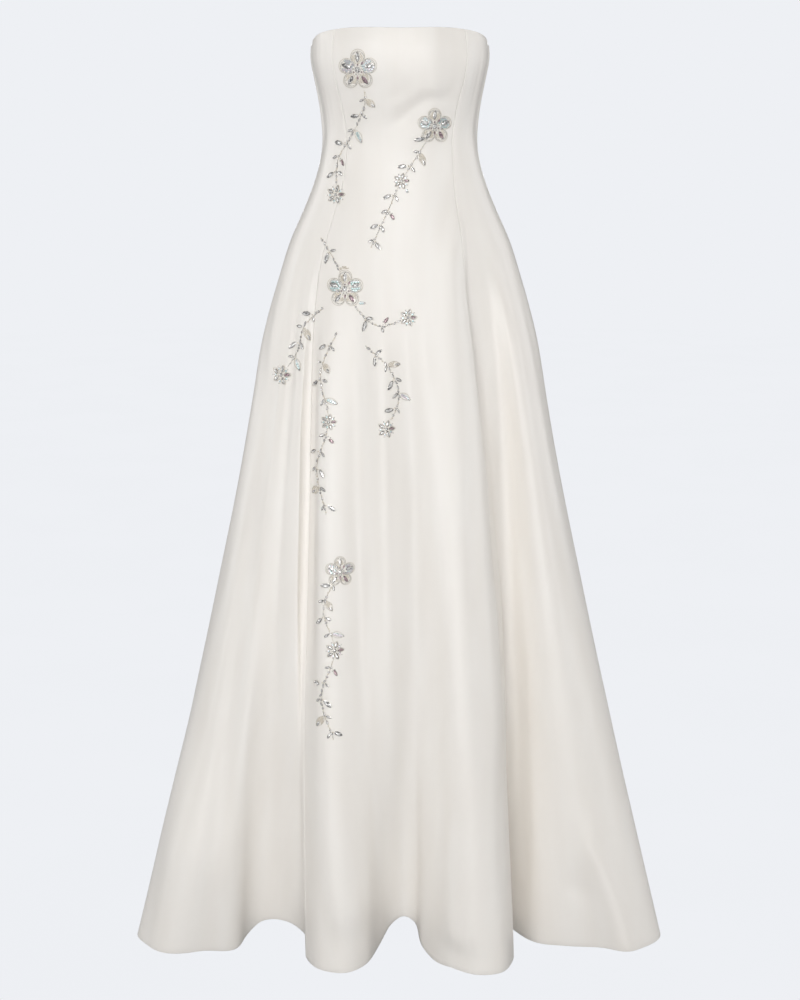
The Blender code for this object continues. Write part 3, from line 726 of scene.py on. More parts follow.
def linear(hex_colour):
    """A colour from its sRGB hex value, as the linear values that Blender's sockets take."""
    values = np.array([int(hex_colour[i : i + 2], 16) / 255 for i in (1, 3, 5)])
    return tuple(np.where(values <= 0.04045, values / 12.92, ((values + 0.055) / 1.055) ** 2.4).tolist())


def add_node(tree, kind, settings=(), links=(), stops=()):
    """Adds a node, sets its properties and sockets by name, links sockets to (node, output) pairs, and gives
    a colour ramp its (position, colour) stops."""
    node = tree.nodes.new(kind)
    for name, value in dict(settings).items():
        if hasattr(node, name):
            setattr(node, name, value)
        else:
            node.inputs[name].default_value = value
    for name, (source, output) in dict(links).items():
        tree.links.new(source.outputs[output], node.inputs[name])
    for i, (position, colour) in enumerate(stops):
        if i > 1:
            node.color_ramp.elements.new(1.0)
        node.color_ramp.elements[i].position = position
        node.color_ramp.elements[i].color = with_alpha(colour)
    return node


def new_material(name):
    """A material with an empty tree but for its output."""
    made = bpy.data.materials.new(name)
    made.use_nodes = True
    made.node_tree.nodes.clear()
    return made, made.node_tree


def finished(made, settings, links):
    """The material with its shader and output added."""
    tree = made.node_tree
    shader = add_node(tree, "ShaderNodeBsdfPrincipled", settings, links)
    add_node(tree, "ShaderNodeOutputMaterial", (), {"Surface": (shader, "BSDF")})
    return made


def with_alpha(colour):
    return (*colour, 1)


def shaded(colour, share):
    return tuple(share * part for part in colour)


def wave_scale(spacing):
    """The wave texture's scale that puts its bands this far apart."""
    return 2 * math.pi / WAVE_PHASE_PER_UNIT / spacing


def duchess_satin(colour, shade):
    """Heavy silk satin, woven with long warp floats: a soft wide gloss that runs along every ridge."""
    made, tree = new_material("duchess_satin")
    cloth = {"Vector": (add_node(tree, "ShaderNodeUVMap", {"uv_map": "cloth"}), "UV")}
    drawn_out = {"Vector": (add_node(tree, "ShaderNodeMapping", {"Scale": SLUBS_PER_METRE}, cloth), "Vector")}
    slubs = add_node(tree, "ShaderNodeTexNoise", {"Scale": 1.0, "Detail": 3.0}, drawn_out)
    # Real floats are 0.1 mm apart. They are drawn 1.8 mm apart, the finest that the picture can show.
    floats = {"Scale": wave_scale(0.0018), "Distortion": 1.2, "Detail": 2.0, "bands_direction": "Y"}
    weave = add_node(tree, "ShaderNodeTexWave", floats, cloth)
    patches = {"Vector": (add_node(tree, "ShaderNodeMapping", {"Scale": MOTTLE_PER_METRE}, cloth), "Vector")}
    mottle = add_node(tree, "ShaderNodeTexNoise", {"Scale": 1.0, "Detail": 2.0}, patches)
    tone = add_node(tree, "ShaderNodeValToRGB", (), {"Fac": (mottle, "Fac")}, ((0.3, shade), (0.7, colour)))
    rough = {"From Min": 0.3, "From Max": 0.7, "To Min": 0.38, "To Max": 0.43}
    gloss = add_node(tree, "ShaderNodeMapRange", rough, {"Value": (slubs, "Fac")})
    woven = {"Height": (weave, "Fac")}
    grain = add_node(tree, "ShaderNodeBump", {"Strength": 0.05, "Distance": 0.0003}, woven)
    ridges = {"Height": (slubs, "Fac"), "Normal": (grain, "Normal")}
    bump = add_node(tree, "ShaderNodeBump", {"Strength": 0.06, "Distance": 0.0008}, ridges)
    return finished(
        made,
        {"IOR": 1.54, "Sheen Weight": 0.05, "Sheen Roughness": 0.4},
        {"Base Color": (tone, "Color"), "Roughness": (gloss, "Result"), "Normal": (bump, "Normal")},
    )


def satin_wrong_side(colour, shade):
    """The satin's back, where the weft lies on top: the same ivory, matt and faintly ribbed."""
    made, tree = new_material("satin_wrong_side")
    cloth = {"Vector": (add_node(tree, "ShaderNodeUVMap", {"uv_map": "cloth"}), "UV")}
    # Weft ribs are 0.4 mm apart in the real cloth, and drawn 2.2 mm apart so that they show.
    weft = {"Scale": wave_scale(0.0022), "Distortion": 0.8, "bands_direction": "Y"}
    ribs = add_node(tree, "ShaderNodeTexWave", weft, cloth)
    mottle = add_node(tree, "ShaderNodeTexNoise", {"Scale": WRONG_MOTTLE_PER_METRE, "Detail": 3.0}, cloth)
    tone = add_node(tree, "ShaderNodeValToRGB", (), {"Fac": (mottle, "Fac")}, ((0.3, shade), (0.7, colour)))
    bump = add_node(tree, "ShaderNodeBump", {"Strength": 0.15, "Distance": 0.0004}, {"Height": (ribs, "Fac")})
    return finished(
        made,
        {"IOR": 1.5, "Roughness": 0.72, "Sheen Weight": 0.2},
        {"Base Color": (tone, "Color"), "Normal": (bump, "Normal")},
    )


def glass_with_painted_reflections(name, stops, roughness, metallic):
    """Pressed glass with a foiled back, whose reflections are painted: each facet's colour is a painted light
    or dark reflection, picked by the facet's direction.
    """
    made, tree = new_material(name)
    facing = {"Vector": (add_node(tree, "ShaderNodeNewGeometry"), "True Normal")}
    spread = add_node(tree, "ShaderNodeVectorMath", {"operation": "SCALE", "Scale": FACET_REFLECTION_SPREAD}, facing)
    spread = {"Vector": (spread, "Vector")}
    # Painted reflection: the facet's direction picks a light or dark tone from the ramp, standing in for the
    # room it would mirror.
    painted_reflection = add_node(tree, "ShaderNodeTexNoise", {"Scale": 1.6, "Detail": 1.0}, spread)
    tone = add_node(tree, "ShaderNodeValToRGB", (), {"Fac": (painted_reflection, "Fac")}, stops)
    return finished(
        made,
        {"Roughness": roughness, "Metallic": metallic, "Coat Weight": 0.4},
        {"Base Color": (tone, "Color")},
    )


def bead_materials(settings):
    """The beadwork's finishes, in the order that pieces' material numbers follow."""
    clear = tuple(settings.crystal_reflection_colour)
    plum = tuple(settings.plum_colour)
    aqua = tuple(settings.sequin_colour)
    cream = tuple(settings.seed_colour)
    return [
        # Clear crystal with painted reflections: its hard white and grey facets are painted into its colour
        # and change with every stone's turn.
        glass_with_painted_reflections(
            "foiled_crystal",
            ((0.41, linear("#6F6E70")), (0.46, linear("#B4B2B0")), (0.54, clear)),
            0.07,
            0.45,
        ),
        # The same cut in plum glass gives the few dark rosy accents: its own plum tone, with painted light
        # and dark reflections on its facets.
        glass_with_painted_reflections("foiled_plum_crystal", ((0.40, plum), (0.60, linear("#D6BDC1"))), 0.08, 0.45),
        # Silver setting cups show as a thin bright rim round every stone.
        plain_finish("silver_setting", linear("#B9B6B0"), 0.22, 1.0),
        # Silver-lined seed beads are small points of light along the stems, partly from their real gloss and
        # partly from painted highlights on their facets.
        glass_with_painted_reflections(
            "silver_lined_seed_bead", ((0.36, linear("#B5B1AA")), (0.52, linear("#F4F1EA"))), 0.16, 0.35
        ),
        # Cream seed beads fill the petals and leaves with a pearly grain: their cream, with a painted sheen
        # that changes from facet to facet.
        glass_with_painted_reflections("cream_seed_bead", ((0.4, linear("#CFC4B0")), (0.62, cream)), 0.2, 0.15),
        # Iridescent sequins turn from aqua to pink with the way that each one lies: a painted iridescent
        # reflection, picked by each sequin's direction.
        glass_with_painted_reflections(
            "iridescent_sequin",
            ((0.38, aqua), (0.5, linear("#E6F4F2")), (0.62, linear("#EBD9E2"))),
            0.14,
            0.35,
        ),
        # Couched metal thread draws the outlines.
        plain_finish("couched_silver_thread", linear("#D2CBBF"), 0.42, 0.45),
    ]


CRYSTAL, PLUM, SETTING, SILVER_SEED, CREAM_SEED, SEQUIN, THREAD = range(7)


def plain_finish(name, colour, roughness, metallic):
    """A smooth metal, enamel or thread with faint wear in its gloss."""
    made, tree = new_material(name)
    place = {"Vector": (add_node(tree, "ShaderNodeTexCoord"), "Object")}
    wear = add_node(tree, "ShaderNodeTexNoise", {"Scale": WEAR_PER_METRE, "Detail": 2.0}, place)
    stops = ((0.3, shaded(colour, 0.86)), (0.7, colour))
    tone = add_node(tree, "ShaderNodeValToRGB", (), {"Fac": (wear, "Fac")}, stops)
    rough = {"To Min": roughness * 0.8, "To Max": roughness * 1.25}
    gloss = add_node(tree, "ShaderNodeMapRange", rough, {"Value": (wear, "Fac")})
    links = {"Base Color": (tone, "Color"), "Roughness": (gloss, "Result")}
    return finished(made, {"Metallic": metallic}, links)


def woven_nylon(name, colour):
    """Zip tape, woven from nylon: a fine matt herringbone."""
    made, tree = new_material(name)
    place = {"Vector": (add_node(tree, "ShaderNodeTexCoord"), "Object")}
    # Tape threads are 0.3 mm apart, drawn at 1 mm so that they show.
    twill = {"Scale": wave_scale(0.001), "bands_direction": "DIAGONAL"}
    threads = add_node(tree, "ShaderNodeTexWave", twill, place)
    stops = ((0.0, shaded(colour, 0.9)), (1.0, colour))
    tone = add_node(tree, "ShaderNodeValToRGB", (), {"Fac": (threads, "Fac")}, stops)
    woven = {"Height": (threads, "Fac")}
    bump = add_node(tree, "ShaderNodeBump", {"Strength": 0.3, "Distance": 0.0002}, woven)
    return finished(made, {"Roughness": 0.6}, {"Base Color": (tone, "Color"), "Normal": (bump, "Normal")})


def object_from(name, vertices, faces, materials, face_materials=None, smooth_faces=True):
    mesh = bpy.data.meshes.new(name)
    mesh.from_pydata(np.asarray(vertices, float).tolist(), [], faces)
    for material in materials:
        mesh.materials.append(material)
    if face_materials is not None:
        mesh.polygons.foreach_set("material_index", np.asarray(face_materials, np.int32))
    if isinstance(smooth_faces, bool):
        smooth_faces = np.full(len(mesh.polygons), smooth_faces)
    mesh.polygons.foreach_set("use_smooth", np.asarray(smooth_faces, bool))
    mesh.update()
    made = bpy.data.objects.new(name, mesh)
    bpy.context.scene.collection.objects.link(made)
    return made


def wall_faces(rows, rims, columns):
    """Faces of a closed cloth wall, with those of its inner side and those that shade smoothly marked.

    Its loops of points run over the outer face from the top down, round the bottom rim, up the inner face
    and round the top rim, where the last loop meets the first. Its two cut edges come last, and are flat.
    """
    loops = 2 * (rows + rims)
    ring = np.arange(loops * columns).reshape(loops, columns)
    after = np.roll(ring, -1, axis=0)
    quads = np.stack([ring[:, :-1], after[:, :-1], after[:, 1:], ring[:, 1:]], axis=-1).reshape(-1, 4)
    loop_of = np.repeat(np.arange(loops), columns - 1)
    inner_side = (loop_of >= rows + rims) & (loop_of < 2 * rows + rims - 1)
    edges = []
    for edge, flipped in ((ring[:, 0], True), (ring[:, -1], False)):
        inner = edge[::-1][rims:]
        caps = [[edge[i], edge[i + 1], inner[i + 1], inner[i]] for i in range(rows - 1)]
        if rims:
            caps.append(edge[rows - 1 : rows + rims + 1])
            caps.append([*edge[-rims - 1 :], edge[0]])
        edges += [[int(point) for point in (cap[::-1] if flipped else cap)] for cap in caps]
    flat = np.zeros(len(edges), bool)
    return (
        quads.tolist() + edges,
        np.concatenate([inner_side, flat]),
        np.concatenate([np.ones(len(quads), bool), flat]),
    )


def rim(start, finish, outward):
    """Rows of a half-round edge from one row of points to another, bulging outward."""
    middle = (start + finish) / 2
    arm = (start - finish) / 2
    reach = np.linalg.norm(arm, axis=-1, keepdims=True)
    turns = [math.pi * i / RIM_STEPS for i in range(1, RIM_STEPS)]
    return [middle + arm * math.cos(turn) + outward * reach * math.sin(turn) for turn in turns]


def zip_calm(points):
    """Share of the cloth's unevenness that stays: none beside the zip, where slider and tape hold it flat."""
    beside = smooth((np.abs(points[..., 0]) - ZIP_FLAT) / ZIP_FLAT_FADE)
    below = smooth((ZIP_END - points[..., 2]) / ZIP_END_FADE)
    return np.where(points[..., 1] > 0, np.maximum(beside, below), 1.0)


def draped(place, level, strength):
    """The creased cloth's outer face, with its directions out, along and up."""
    plain = surface(place, level)
    out, along, up = directions(place, level)
    lift = crease_lift(plain) + unevenness(place, plain[..., 2])
    return plain + out * (strength * zip_calm(plain) * lift)[..., None], out, along, up


def panel_grid(panel, settings):
    """Outer and inner points of one panel, its directions, and its cloth coordinates in metres."""
    levels = panel_levels()
    start, end = SEAM_PLACES[panel.start], SEAM_PLACES[panel.end]
    even = np.linspace(start, end, WIDTH_READINGS)
    widths = np.linalg.norm(np.diff(surface(even[None], levels[:, None]), axis=1), axis=-1).sum(axis=1)
    beside = np.array(BESIDE_SEAM) / widths[:, None]
    count = round(widths.max() / COLUMN)
    between = np.linspace(beside[:, -1], 1 - beside[:, -1], count, axis=1)[:, 1:-1]
    shares = np.concatenate([beside, between, 1 - beside[:, ::-1]], axis=1)
    places = start + shares * (end - start)
    outer, out, along, up = draped(places, np.broadcast_to(levels[:, None], places.shape), settings.creasing)
    across = shares * widths[:, None]
    for distance in (across, widths[:, None] - across):
        outer = outer + out * seam_profile(distance)[..., None]
    outer[:, 0] += along[:, 0] * SEWN_EDGE_GAP / 2
    outer[:, -1] -= along[:, -1] * SEWN_EDGE_GAP / 2
    cloth = np.stack([across - widths[:, None] / 2, outer[..., 2]], axis=-1)
    return outer, outer - out * settings.thickness, out, up, cloth


def make_wall(name, outer, inner, cloth, materials, up=None):
    """A closed cloth wall from its outer and inner points, with rounded rims where up is given."""
    top = [] if up is None else rim(inner[0], outer[0], up[0])
    bottom = [] if up is None else rim(outer[-1], inner[-1], -up[-1])
    points = np.array([*outer, *bottom, *inner[::-1], *top])
    coordinates = np.array([*cloth, *[cloth[-1]] * len(bottom), *cloth[::-1], *[cloth[0]] * len(top)])
    faces, inner_side, smooth_faces = wall_faces(len(outer), len(top), outer.shape[1])
    finishes = inner_side.astype(np.int32) if len(materials) > 1 else None
    made = object_from(name, points.reshape(-1, 3), faces, materials, finishes, smooth_faces)
    layer = made.data.uv_layers.new(name="cloth")
    corners = np.empty(len(made.data.loops), np.int32)
    made.data.loops.foreach_get("vertex_index", corners)
    layer.data.foreach_set("uv", coordinates.reshape(-1, 2)[corners].astype(np.float32).ravel())
    return made


def panel_turnings(panel, inner, out, cloth, material):
    """The two seam allowances, the hem and the top edge, pressed flat inside the panel as thin walls."""
    last = len(inner) - 1
    # Rows, columns, and how many layers of cloth lie between the turning and the panel
    parts = (
        (slice(1, last, 2), slice(0, ALLOWANCE_COLUMNS), 0),
        (slice(1, last, 2), slice(-ALLOWANCE_COLUMNS, None), 0),
        (slice(last - HEM_ROWS, last), slice(1, -1), 1),
        (slice(1, TOP_ROWS + 2), slice(1, -1), 1),
    )
    pieces = []
    for down, across, layer in parts:
        depth = TURNING_GAP + layer * (TURNING_THICKNESS + TURNING_GAP)
        face = inner[down, across] - out[down, across] * depth
        under = face - out[down, across] * TURNING_THICKNESS
        pieces.append(make_wall("turning", face, under, cloth[down, across], [material]))
    first = pieces[0]
    with bpy.context.temp_override(active_object=first, selected_editable_objects=pieces):
        bpy.ops.object.join()
    first.name = panel.name + "_turnings"
    return first


def tube(path, radius, normals, closed=False):
    """Points and faces of a thin tube along a path, with the cloth's normal at each point."""
    sides = TUBE_SIDES
    path = np.asarray(path, float)
    ahead = np.roll(path, -1, axis=0) - np.roll(path, 1, axis=0) if closed else np.gradient(path, axis=0)
    ahead = unit(ahead)
    aside = unit(np.cross(ahead, normals))
    over = np.cross(aside, ahead)
    turns = 2 * np.pi * (np.arange(sides) + 0.5) / sides
    ring = aside[:, None] * np.cos(turns)[:, None] + over[:, None] * np.sin(turns)[:, None]
    count = len(path)
    faces = []
    for i in range(count if closed else count - 1):
        this, after = i * sides, (i + 1) % count * sides
        for j in range(sides):
            k = (j + 1) % sides
            faces.append([this + j, after + j, after + k, this + k])
    if not closed:
        faces.append(list(range(sides)))
        faces.append([(count - 1) * sides + j for j in range(sides)][::-1])
    return (path[:, None] + ring * radius).reshape(-1, 3), faces


class Gathering:
    """Points, faces and finishes of many small pieces that become one mesh."""

    def __init__(self):
        self.points = []
        self.faces = []
        self.finishes = []
        self.rounded = []
        self.count = 0

    def add(self, points, faces, finish, rounded=True):
        self.points.append(points)
        self.faces += [[corner + self.count for corner in face] for face in faces]
        self.finishes += [finish] * len(faces) if isinstance(finish, int) else list(finish)
        self.rounded += [rounded] * len(faces)
        self.count += len(points)

    def build(self, name, materials):
        points = np.concatenate(self.points)
        return object_from(name, points, self.faces, materials, self.finishes, np.array(self.rounded))


def inside_stitches(gathering, inner, out, row, stitch):
    """Stitches that hold a turning, along one row of the panel's inner face."""
    normals = out[row, 2:-2]
    line = inner[row, 2:-2] - normals * (2 * (TURNING_GAP + TURNING_THICKNESS) + STITCH_THREAD / 2)
    lengths = run_lengths(line)
    for at in np.arange(stitch.start, lengths[-1] - stitch.length, stitch.step):
        places = at + np.linspace(0, stitch.length, stitch.points)
        run = through(lengths, line, places)
        run[:, 2] += np.linspace(-1, 1, stitch.points) * stitch.slant
        gathering.add(*tube(run, STITCH_THREAD / 2, -through(lengths, normals, places)), 0)


def carry(piece, replaced=()):
    """A piece rides on the dress and stands for the CAD nodes that it replaces, which are hidden."""
    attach(piece, "dress")
    if replaced:
        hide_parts(*replaced)


def lens_outline(count):
    """A pointed oval one long and one wide."""
    turns = 2 * np.pi * np.arange(count) / count
    across = np.sin(turns) * np.abs(np.sin(turns)) ** LENS_POINTEDNESS
    return np.stack([np.cos(turns), across], axis=1) / 2


def round_outline(count):
    turns = 2 * np.pi * np.arange(count) / count
    return np.stack([np.cos(turns), np.sin(turns)], axis=1) / 2


# Profile of a small form: rings from the cloth up, each with its height, its share of the full outline, how
# far it is turned in steps, and whether the faces below it are the setting's. A centre point closes the top.
Ring = namedtuple("Ring", "height share step setting")
STONE_RINGS = (
    Ring(0.0, 0.96, 0, False),
    Ring(0.42, 1.06, 0, True),
    Ring(0.46, 0.90, 0, True),
    Ring(0.95, 0.50, 0.5, False),
)
BEAD_RINGS = (Ring(0.0, 0.65, 0, False), Ring(0.45, 1.0, 0, False), Ring(0.9, 0.66, 0, False))
SEQUIN_RINGS = (Ring(0.0, 0.9, 0, False), Ring(0.7, 1.0, 0, False), Ring(0.45, 0.5, 0, False))


def small_form(outline, rings, top_height):
    """Points and faces of a stone, bead or sequin one unit across, with the faces of its setting marked."""
    count = len(outline)
    middle = np.arange(count)
    after = np.roll(middle, -1)
    points = []
    faces = []
    setting = []
    for i, ring in enumerate(rings):
        shifted = outline * (1 - ring.step) + outline[after] * ring.step
        points.append(np.column_stack([shifted * ring.share, np.full(count, ring.height)]))
        if i == 0:
            continue
        low, high = (i - 1) * count, i * count
        if ring.step:
            kinds = (low + middle, low + after, high + middle), (low + after, high + after, high + middle)
        else:
            kinds = ((low + middle, low + after, high + after, high + middle),)
        sides = [[int(corner) for corner in face] for kind in kinds for face in zip(*kind)]
        faces += sides
        setting += [ring.setting] * len(sides)
    points.append(np.array([[0.0, 0.0, top_height]]))
    top = len(rings) * count
    last = top - count
    faces += [[last + int(a), last + int(b), top] for a, b in zip(middle, after)]
    faces.append([int(point) for point in middle[::-1]])
    setting += [False] * count + [True]
    return np.concatenate(points), faces, np.array(setting)


FORMS = {
    "marquise": small_form(lens_outline(10), STONE_RINGS, 1.0),
    "round": small_form(round_outline(8), STONE_RINGS, 1.0),
    "seed": small_form(round_outline(6), BEAD_RINGS, 0.8),
    "sequin": small_form(round_outline(8), SEQUIN_RINGS, 0.3),
}

Bead = namedtuple("Bead", "form finish x height turn length width thickness")


class Cloth:
    """The front of the draped cloth, which beads are laid on from in front."""

    def __init__(self, panels):
        points = []
        faces = []
        for panel in panels:
            first = len(points)
            points += [vertex.co.copy() for vertex in panel.data.vertices]
            faces += [[first + corner for corner in face.vertices] for face in panel.data.polygons]
        self.tree = BVHTree.FromPolygons(points, faces)

    def seat(self, x, height):
        """Where a point in front view meets the cloth, and the cloth's normal there."""
        point, normal, _, _ = self.tree.ray_cast(Vector((x, BEFORE_DRESS, height)), Vector((0, 1, 0)))
        if point is None:
            raise RuntimeError(f"no cloth behind ({x:.3f}, {height:.3f})")
        return point, normal


def lay_bead(gathering, cloth, bead):
    form_points, faces, setting = FORMS[bead.form]
    point, normal = cloth.seat(bead.x, bead.height)
    upward = (Vector((0, 0, 1)) - normal * normal.z).normalized()
    ahead = upward.cross(normal) * math.cos(bead.turn) + upward * math.sin(bead.turn)
    axes = np.array([ahead * bead.length, normal.cross(ahead) * bead.width, normal * bead.thickness])
    finishes = np.where(setting, SETTING, bead.finish) if bead.form in STONES else bead.finish
    gathering.add(form_points @ axes + np.array(point), faces, finishes, bead.form not in STONES)


def lay_thread(gathering, cloth, outline, closed=False):
    """A couched thread along a line in front view, sunk a little into the cloth."""
    seats = [cloth.seat(x, height) for x, height in outline]
    path = np.array([point + normal * THREAD_WIDTH * THREAD_RISE for point, normal in seats])
    normals = np.array([normal for _, normal in seats])
    gathering.add(*tube(path, THREAD_WIDTH / 2, normals, closed), THREAD)


def along_line(line, step, closed=False):
    """Points at an even step along a line, each with the line's angle there."""
    line = np.asarray(line, float)
    if closed:
        line = np.concatenate([line, line[:1]])
    runs = run_lengths(line)
    count = max(2, round(runs[-1] / step))
    at = np.linspace(0, runs[-1], count + 1)[: count if closed else count + 1]
    here, ahead, behind = (
        np.stack([np.interp(np.clip(at + shift, 0, runs[-1]), runs, line[:, i]) for i in range(2)], axis=1)
        for shift in (0, step / 4, -step / 4)
    )
    way = ahead - behind
    return here, np.arctan2(way[:, 1], way[:, 0])


def inside(points, outline):
    """Which points lie inside a closed outline: those with an odd number of its sides to their right."""
    outline = np.asarray(outline)
    nearer = np.roll(outline, -1, axis=0)
    crosses = (outline[None, :, 1] > points[:, None, 1]) != (nearer[None, :, 1] > points[:, None, 1])
    rise = nearer[:, 1] - outline[:, 1]
    rise = np.where(rise == 0, NEARLY_LEVEL, rise)
    share = (points[:, None, 1] - outline[None, :, 1]) / rise
    meets = outline[:, 0] + share * (nearer[:, 0] - outline[:, 0])
    return (crosses & (points[:, None, 0] < meets)).sum(axis=1) % 2 == 1


def filling(outline, pitch, keep_clear):
    """Places of beads packed in staggered rows inside an outline, clear of circles (x, height, radius)."""
    low, high = np.min(outline, axis=0), np.max(outline, axis=0)
    places = [
        (x, height)
        for i, height in enumerate(np.arange(low[1], high[1], pitch * math.sqrt(3) / 2))
        for x in np.arange(low[0] + pitch / 2 * (i % 2), high[0], pitch)
    ]
    places = np.array(places)
    places = places[inside(places, outline)]
    for x, height, radius in keep_clear:
        places = places[np.hypot(places[:, 0] - x, places[:, 1] - height) > radius]
    return places


def petal_outline(blossom, scale):
    """Five round petals that meet at a waist between each two, in front view."""
    turn = 2 * np.pi * np.arange(PETAL_OUTLINE_POINTS) / PETAL_OUTLINE_POINTS
    swell = np.abs(np.cos(PETALS * turn / 2)) ** PETAL_ROUNDNESS
    reach = scale * blossom.size / 2 * (PETAL_WAIST + (1 - PETAL_WAIST) * swell)
    return np.stack([blossom.x + reach * np.sin(turn), blossom.height + reach * np.cos(turn)], axis=1)


def petal_of(blossom, x, height):
    """Number of the petal that a place is in, clockwise from the top one."""
    return round(math.atan2(x - blossom.x, height - blossom.height) / (2 * math.pi / PETALS)) % PETALS


def leaf_outline(root, way, length, width):
    """A pointed leaf from a root, along a way, fullest a little below its middle."""
    share = np.linspace(0, 1, LEAF_OUTLINE_POINTS)
    half = width / 2 * np.sin(np.pi * share) ** LEAF_ROUNDNESS * (1 + LEAF_FULLNESS * (0.5 - share))
    spine = root + way * (share * length)[:, None]
    aside = np.array([-way[1], way[0]]) * half[:, None]
    return np.concatenate([spine + aside, (spine - aside)[-2:0:-1]])


def stem_line(spray):
    """Points and directions along a spray's stem in front view."""
    runs = run_lengths(spray.stem)
    points = through(runs, spray.stem, np.linspace(0, runs[-1], round(runs[-1] / STEM_SAMPLE) + 1))
    return points, unit(np.gradient(points, axis=0))


def turned(way, turn):
    cosine, sine = math.cos(turn), math.sin(turn)
    return np.array([way[0] * cosine - way[1] * sine, way[0] * sine + way[1] * cosine])


def spoke(number, count=PETALS):
    """Direction from a blossom's centre to one of a ring of parts, clockwise from the top one."""
    turn = 2 * math.pi * number / count
    return np.array([math.sin(turn), math.cos(turn)])


def seed(finish, place, size, turn=0.0):
    return Bead("seed", finish, *place, turn, size, size, size * SEED_HEIGHT)


def sequin(place, width, rng, thickness):
    return Bead("sequin", SEQUIN, *place, rng.uniform(0, FULL_TURN), width, width, thickness)


def stone(form, finish, place, turn, length, width):
    """A stone in its setting, lower where it is narrow."""
    height = STONE_HEIGHT * min(1.0, width / MARQUISE_WIDTH + LEAST_STONE_HEIGHT)
    return Bead(form, finish, *place, turn, length, width, height)


def marquise(finish, place, way, length, width, lean=0.0):
    """A pointed stone that lies along a way, or at an angle to it."""
    return stone("marquise", finish, place, math.atan2(way[1], way[0]) + lean, length, width)


def large_blossom(blossom, settings, rng):
    """Petals outlined in thread and seed beads, filled in turn with seed beads and sequins round a stone."""
    radius = blossom.size / 2
    centre = np.array([blossom.x, blossom.height])
    size = settings.seed_size
    beads = []
    clear = [(*centre, radius * LARGE_CENTRE_STONE)]
    for i in range(PETALS):
        way = spoke(i)
        at = centre + way * radius * PETAL_STONE.at
        finish = PLUM if i == PETALS // 2 else CRYSTAL
        beads.append(marquise(finish, at, way, radius * PETAL_STONE.length, radius * PETAL_STONE.width))
        clear += [(*(at + way * radius * reach), radius * PETAL_STONE_CLEAR) for reach in PETAL_STONE_REACHES]
        way = turned(way, math.pi / PETALS)
        at = centre + way * radius * WAIST_STONE.at
        beads.append(marquise(PLUM if i % 2 else CRYSTAL, at, way, WAIST_STONE.length, WAIST_STONE.width))
        clear.append((*at, WAIST_STONE_CLEAR))
    for at, turn in zip(*along_line(petal_outline(blossom, EDGE_SCALE), size * EDGE_PITCH, closed=True)):
        beads.append(seed(SILVER_SEED, at, size, turn))
    for at in filling(petal_outline(blossom, CREAM_SCALE), size * CREAM_PITCH, clear):
        if petal_of(blossom, *at) not in SEQUIN_PETALS:
            beads.append(seed(CREAM_SEED, at, size * rng.uniform(*SEED_SIZES)))
    for at in filling(petal_outline(blossom, SEQUIN_SCALE), settings.sequin_size * SEQUIN_PITCH, clear):
        if petal_of(blossom, *at) in SEQUIN_PETALS:
            beads.append(sequin(at, settings.sequin_size * rng.uniform(*SEQUIN_SIZES), rng, SEQUIN_THICKNESS))
    width = radius * LARGE_CENTRE_STONE
    beads.append(stone("round", CRYSTAL, centre, LARGE_CENTRE_TURN, width, width))
    for i in range(CENTRE_ROUNDS):
        at = centre + spoke(i, CENTRE_ROUNDS) * radius * CENTRE_ROUND_AT
        turn = 2 * math.pi * i / CENTRE_ROUNDS
        beads.append(stone("round", SILVER_SEED if i % 3 else PLUM, at, turn, CENTRE_ROUND, CENTRE_ROUND))
    return beads, [(petal_outline(blossom, 1.0), True)]


def small_blossom(blossom, settings, rng):
    """Five stones round a small centre, with sequins between them."""
    radius = blossom.size / 2
    centre = np.array([blossom.x, blossom.height])
    beads = []
    threads = []
    for i in range(PETALS):
        way = spoke(i + SMALL_TURN)
        at = centre + way * radius * SMALL_STONE.at
        finish = PLUM if i == 1 else CRYSTAL
        beads.append(marquise(finish, at, way, radius * SMALL_STONE.length, radius * SMALL_STONE.width))
        between = turned(way, math.pi / PETALS) * radius
        width = settings.sequin_size * SMALL_SEQUIN
        beads.append(sequin(centre + between * SMALL_SEQUIN_AT, width, rng, SEQUIN_THICKNESS))
        beads.append(seed(SILVER_SEED, centre + between * SMALL_SEED_AT, settings.seed_size))
        root = centre + way * radius * SMALL_OUTLINE.at
        outline = leaf_outline(root, way, radius * SMALL_OUTLINE.length, radius * SMALL_OUTLINE.width)
        threads.append((outline, True))
    width = radius * SMALL_CENTRE_STONE
    beads.append(stone("round", CRYSTAL, centre, SMALL_CENTRE_TURN, width, width))
    return beads, threads


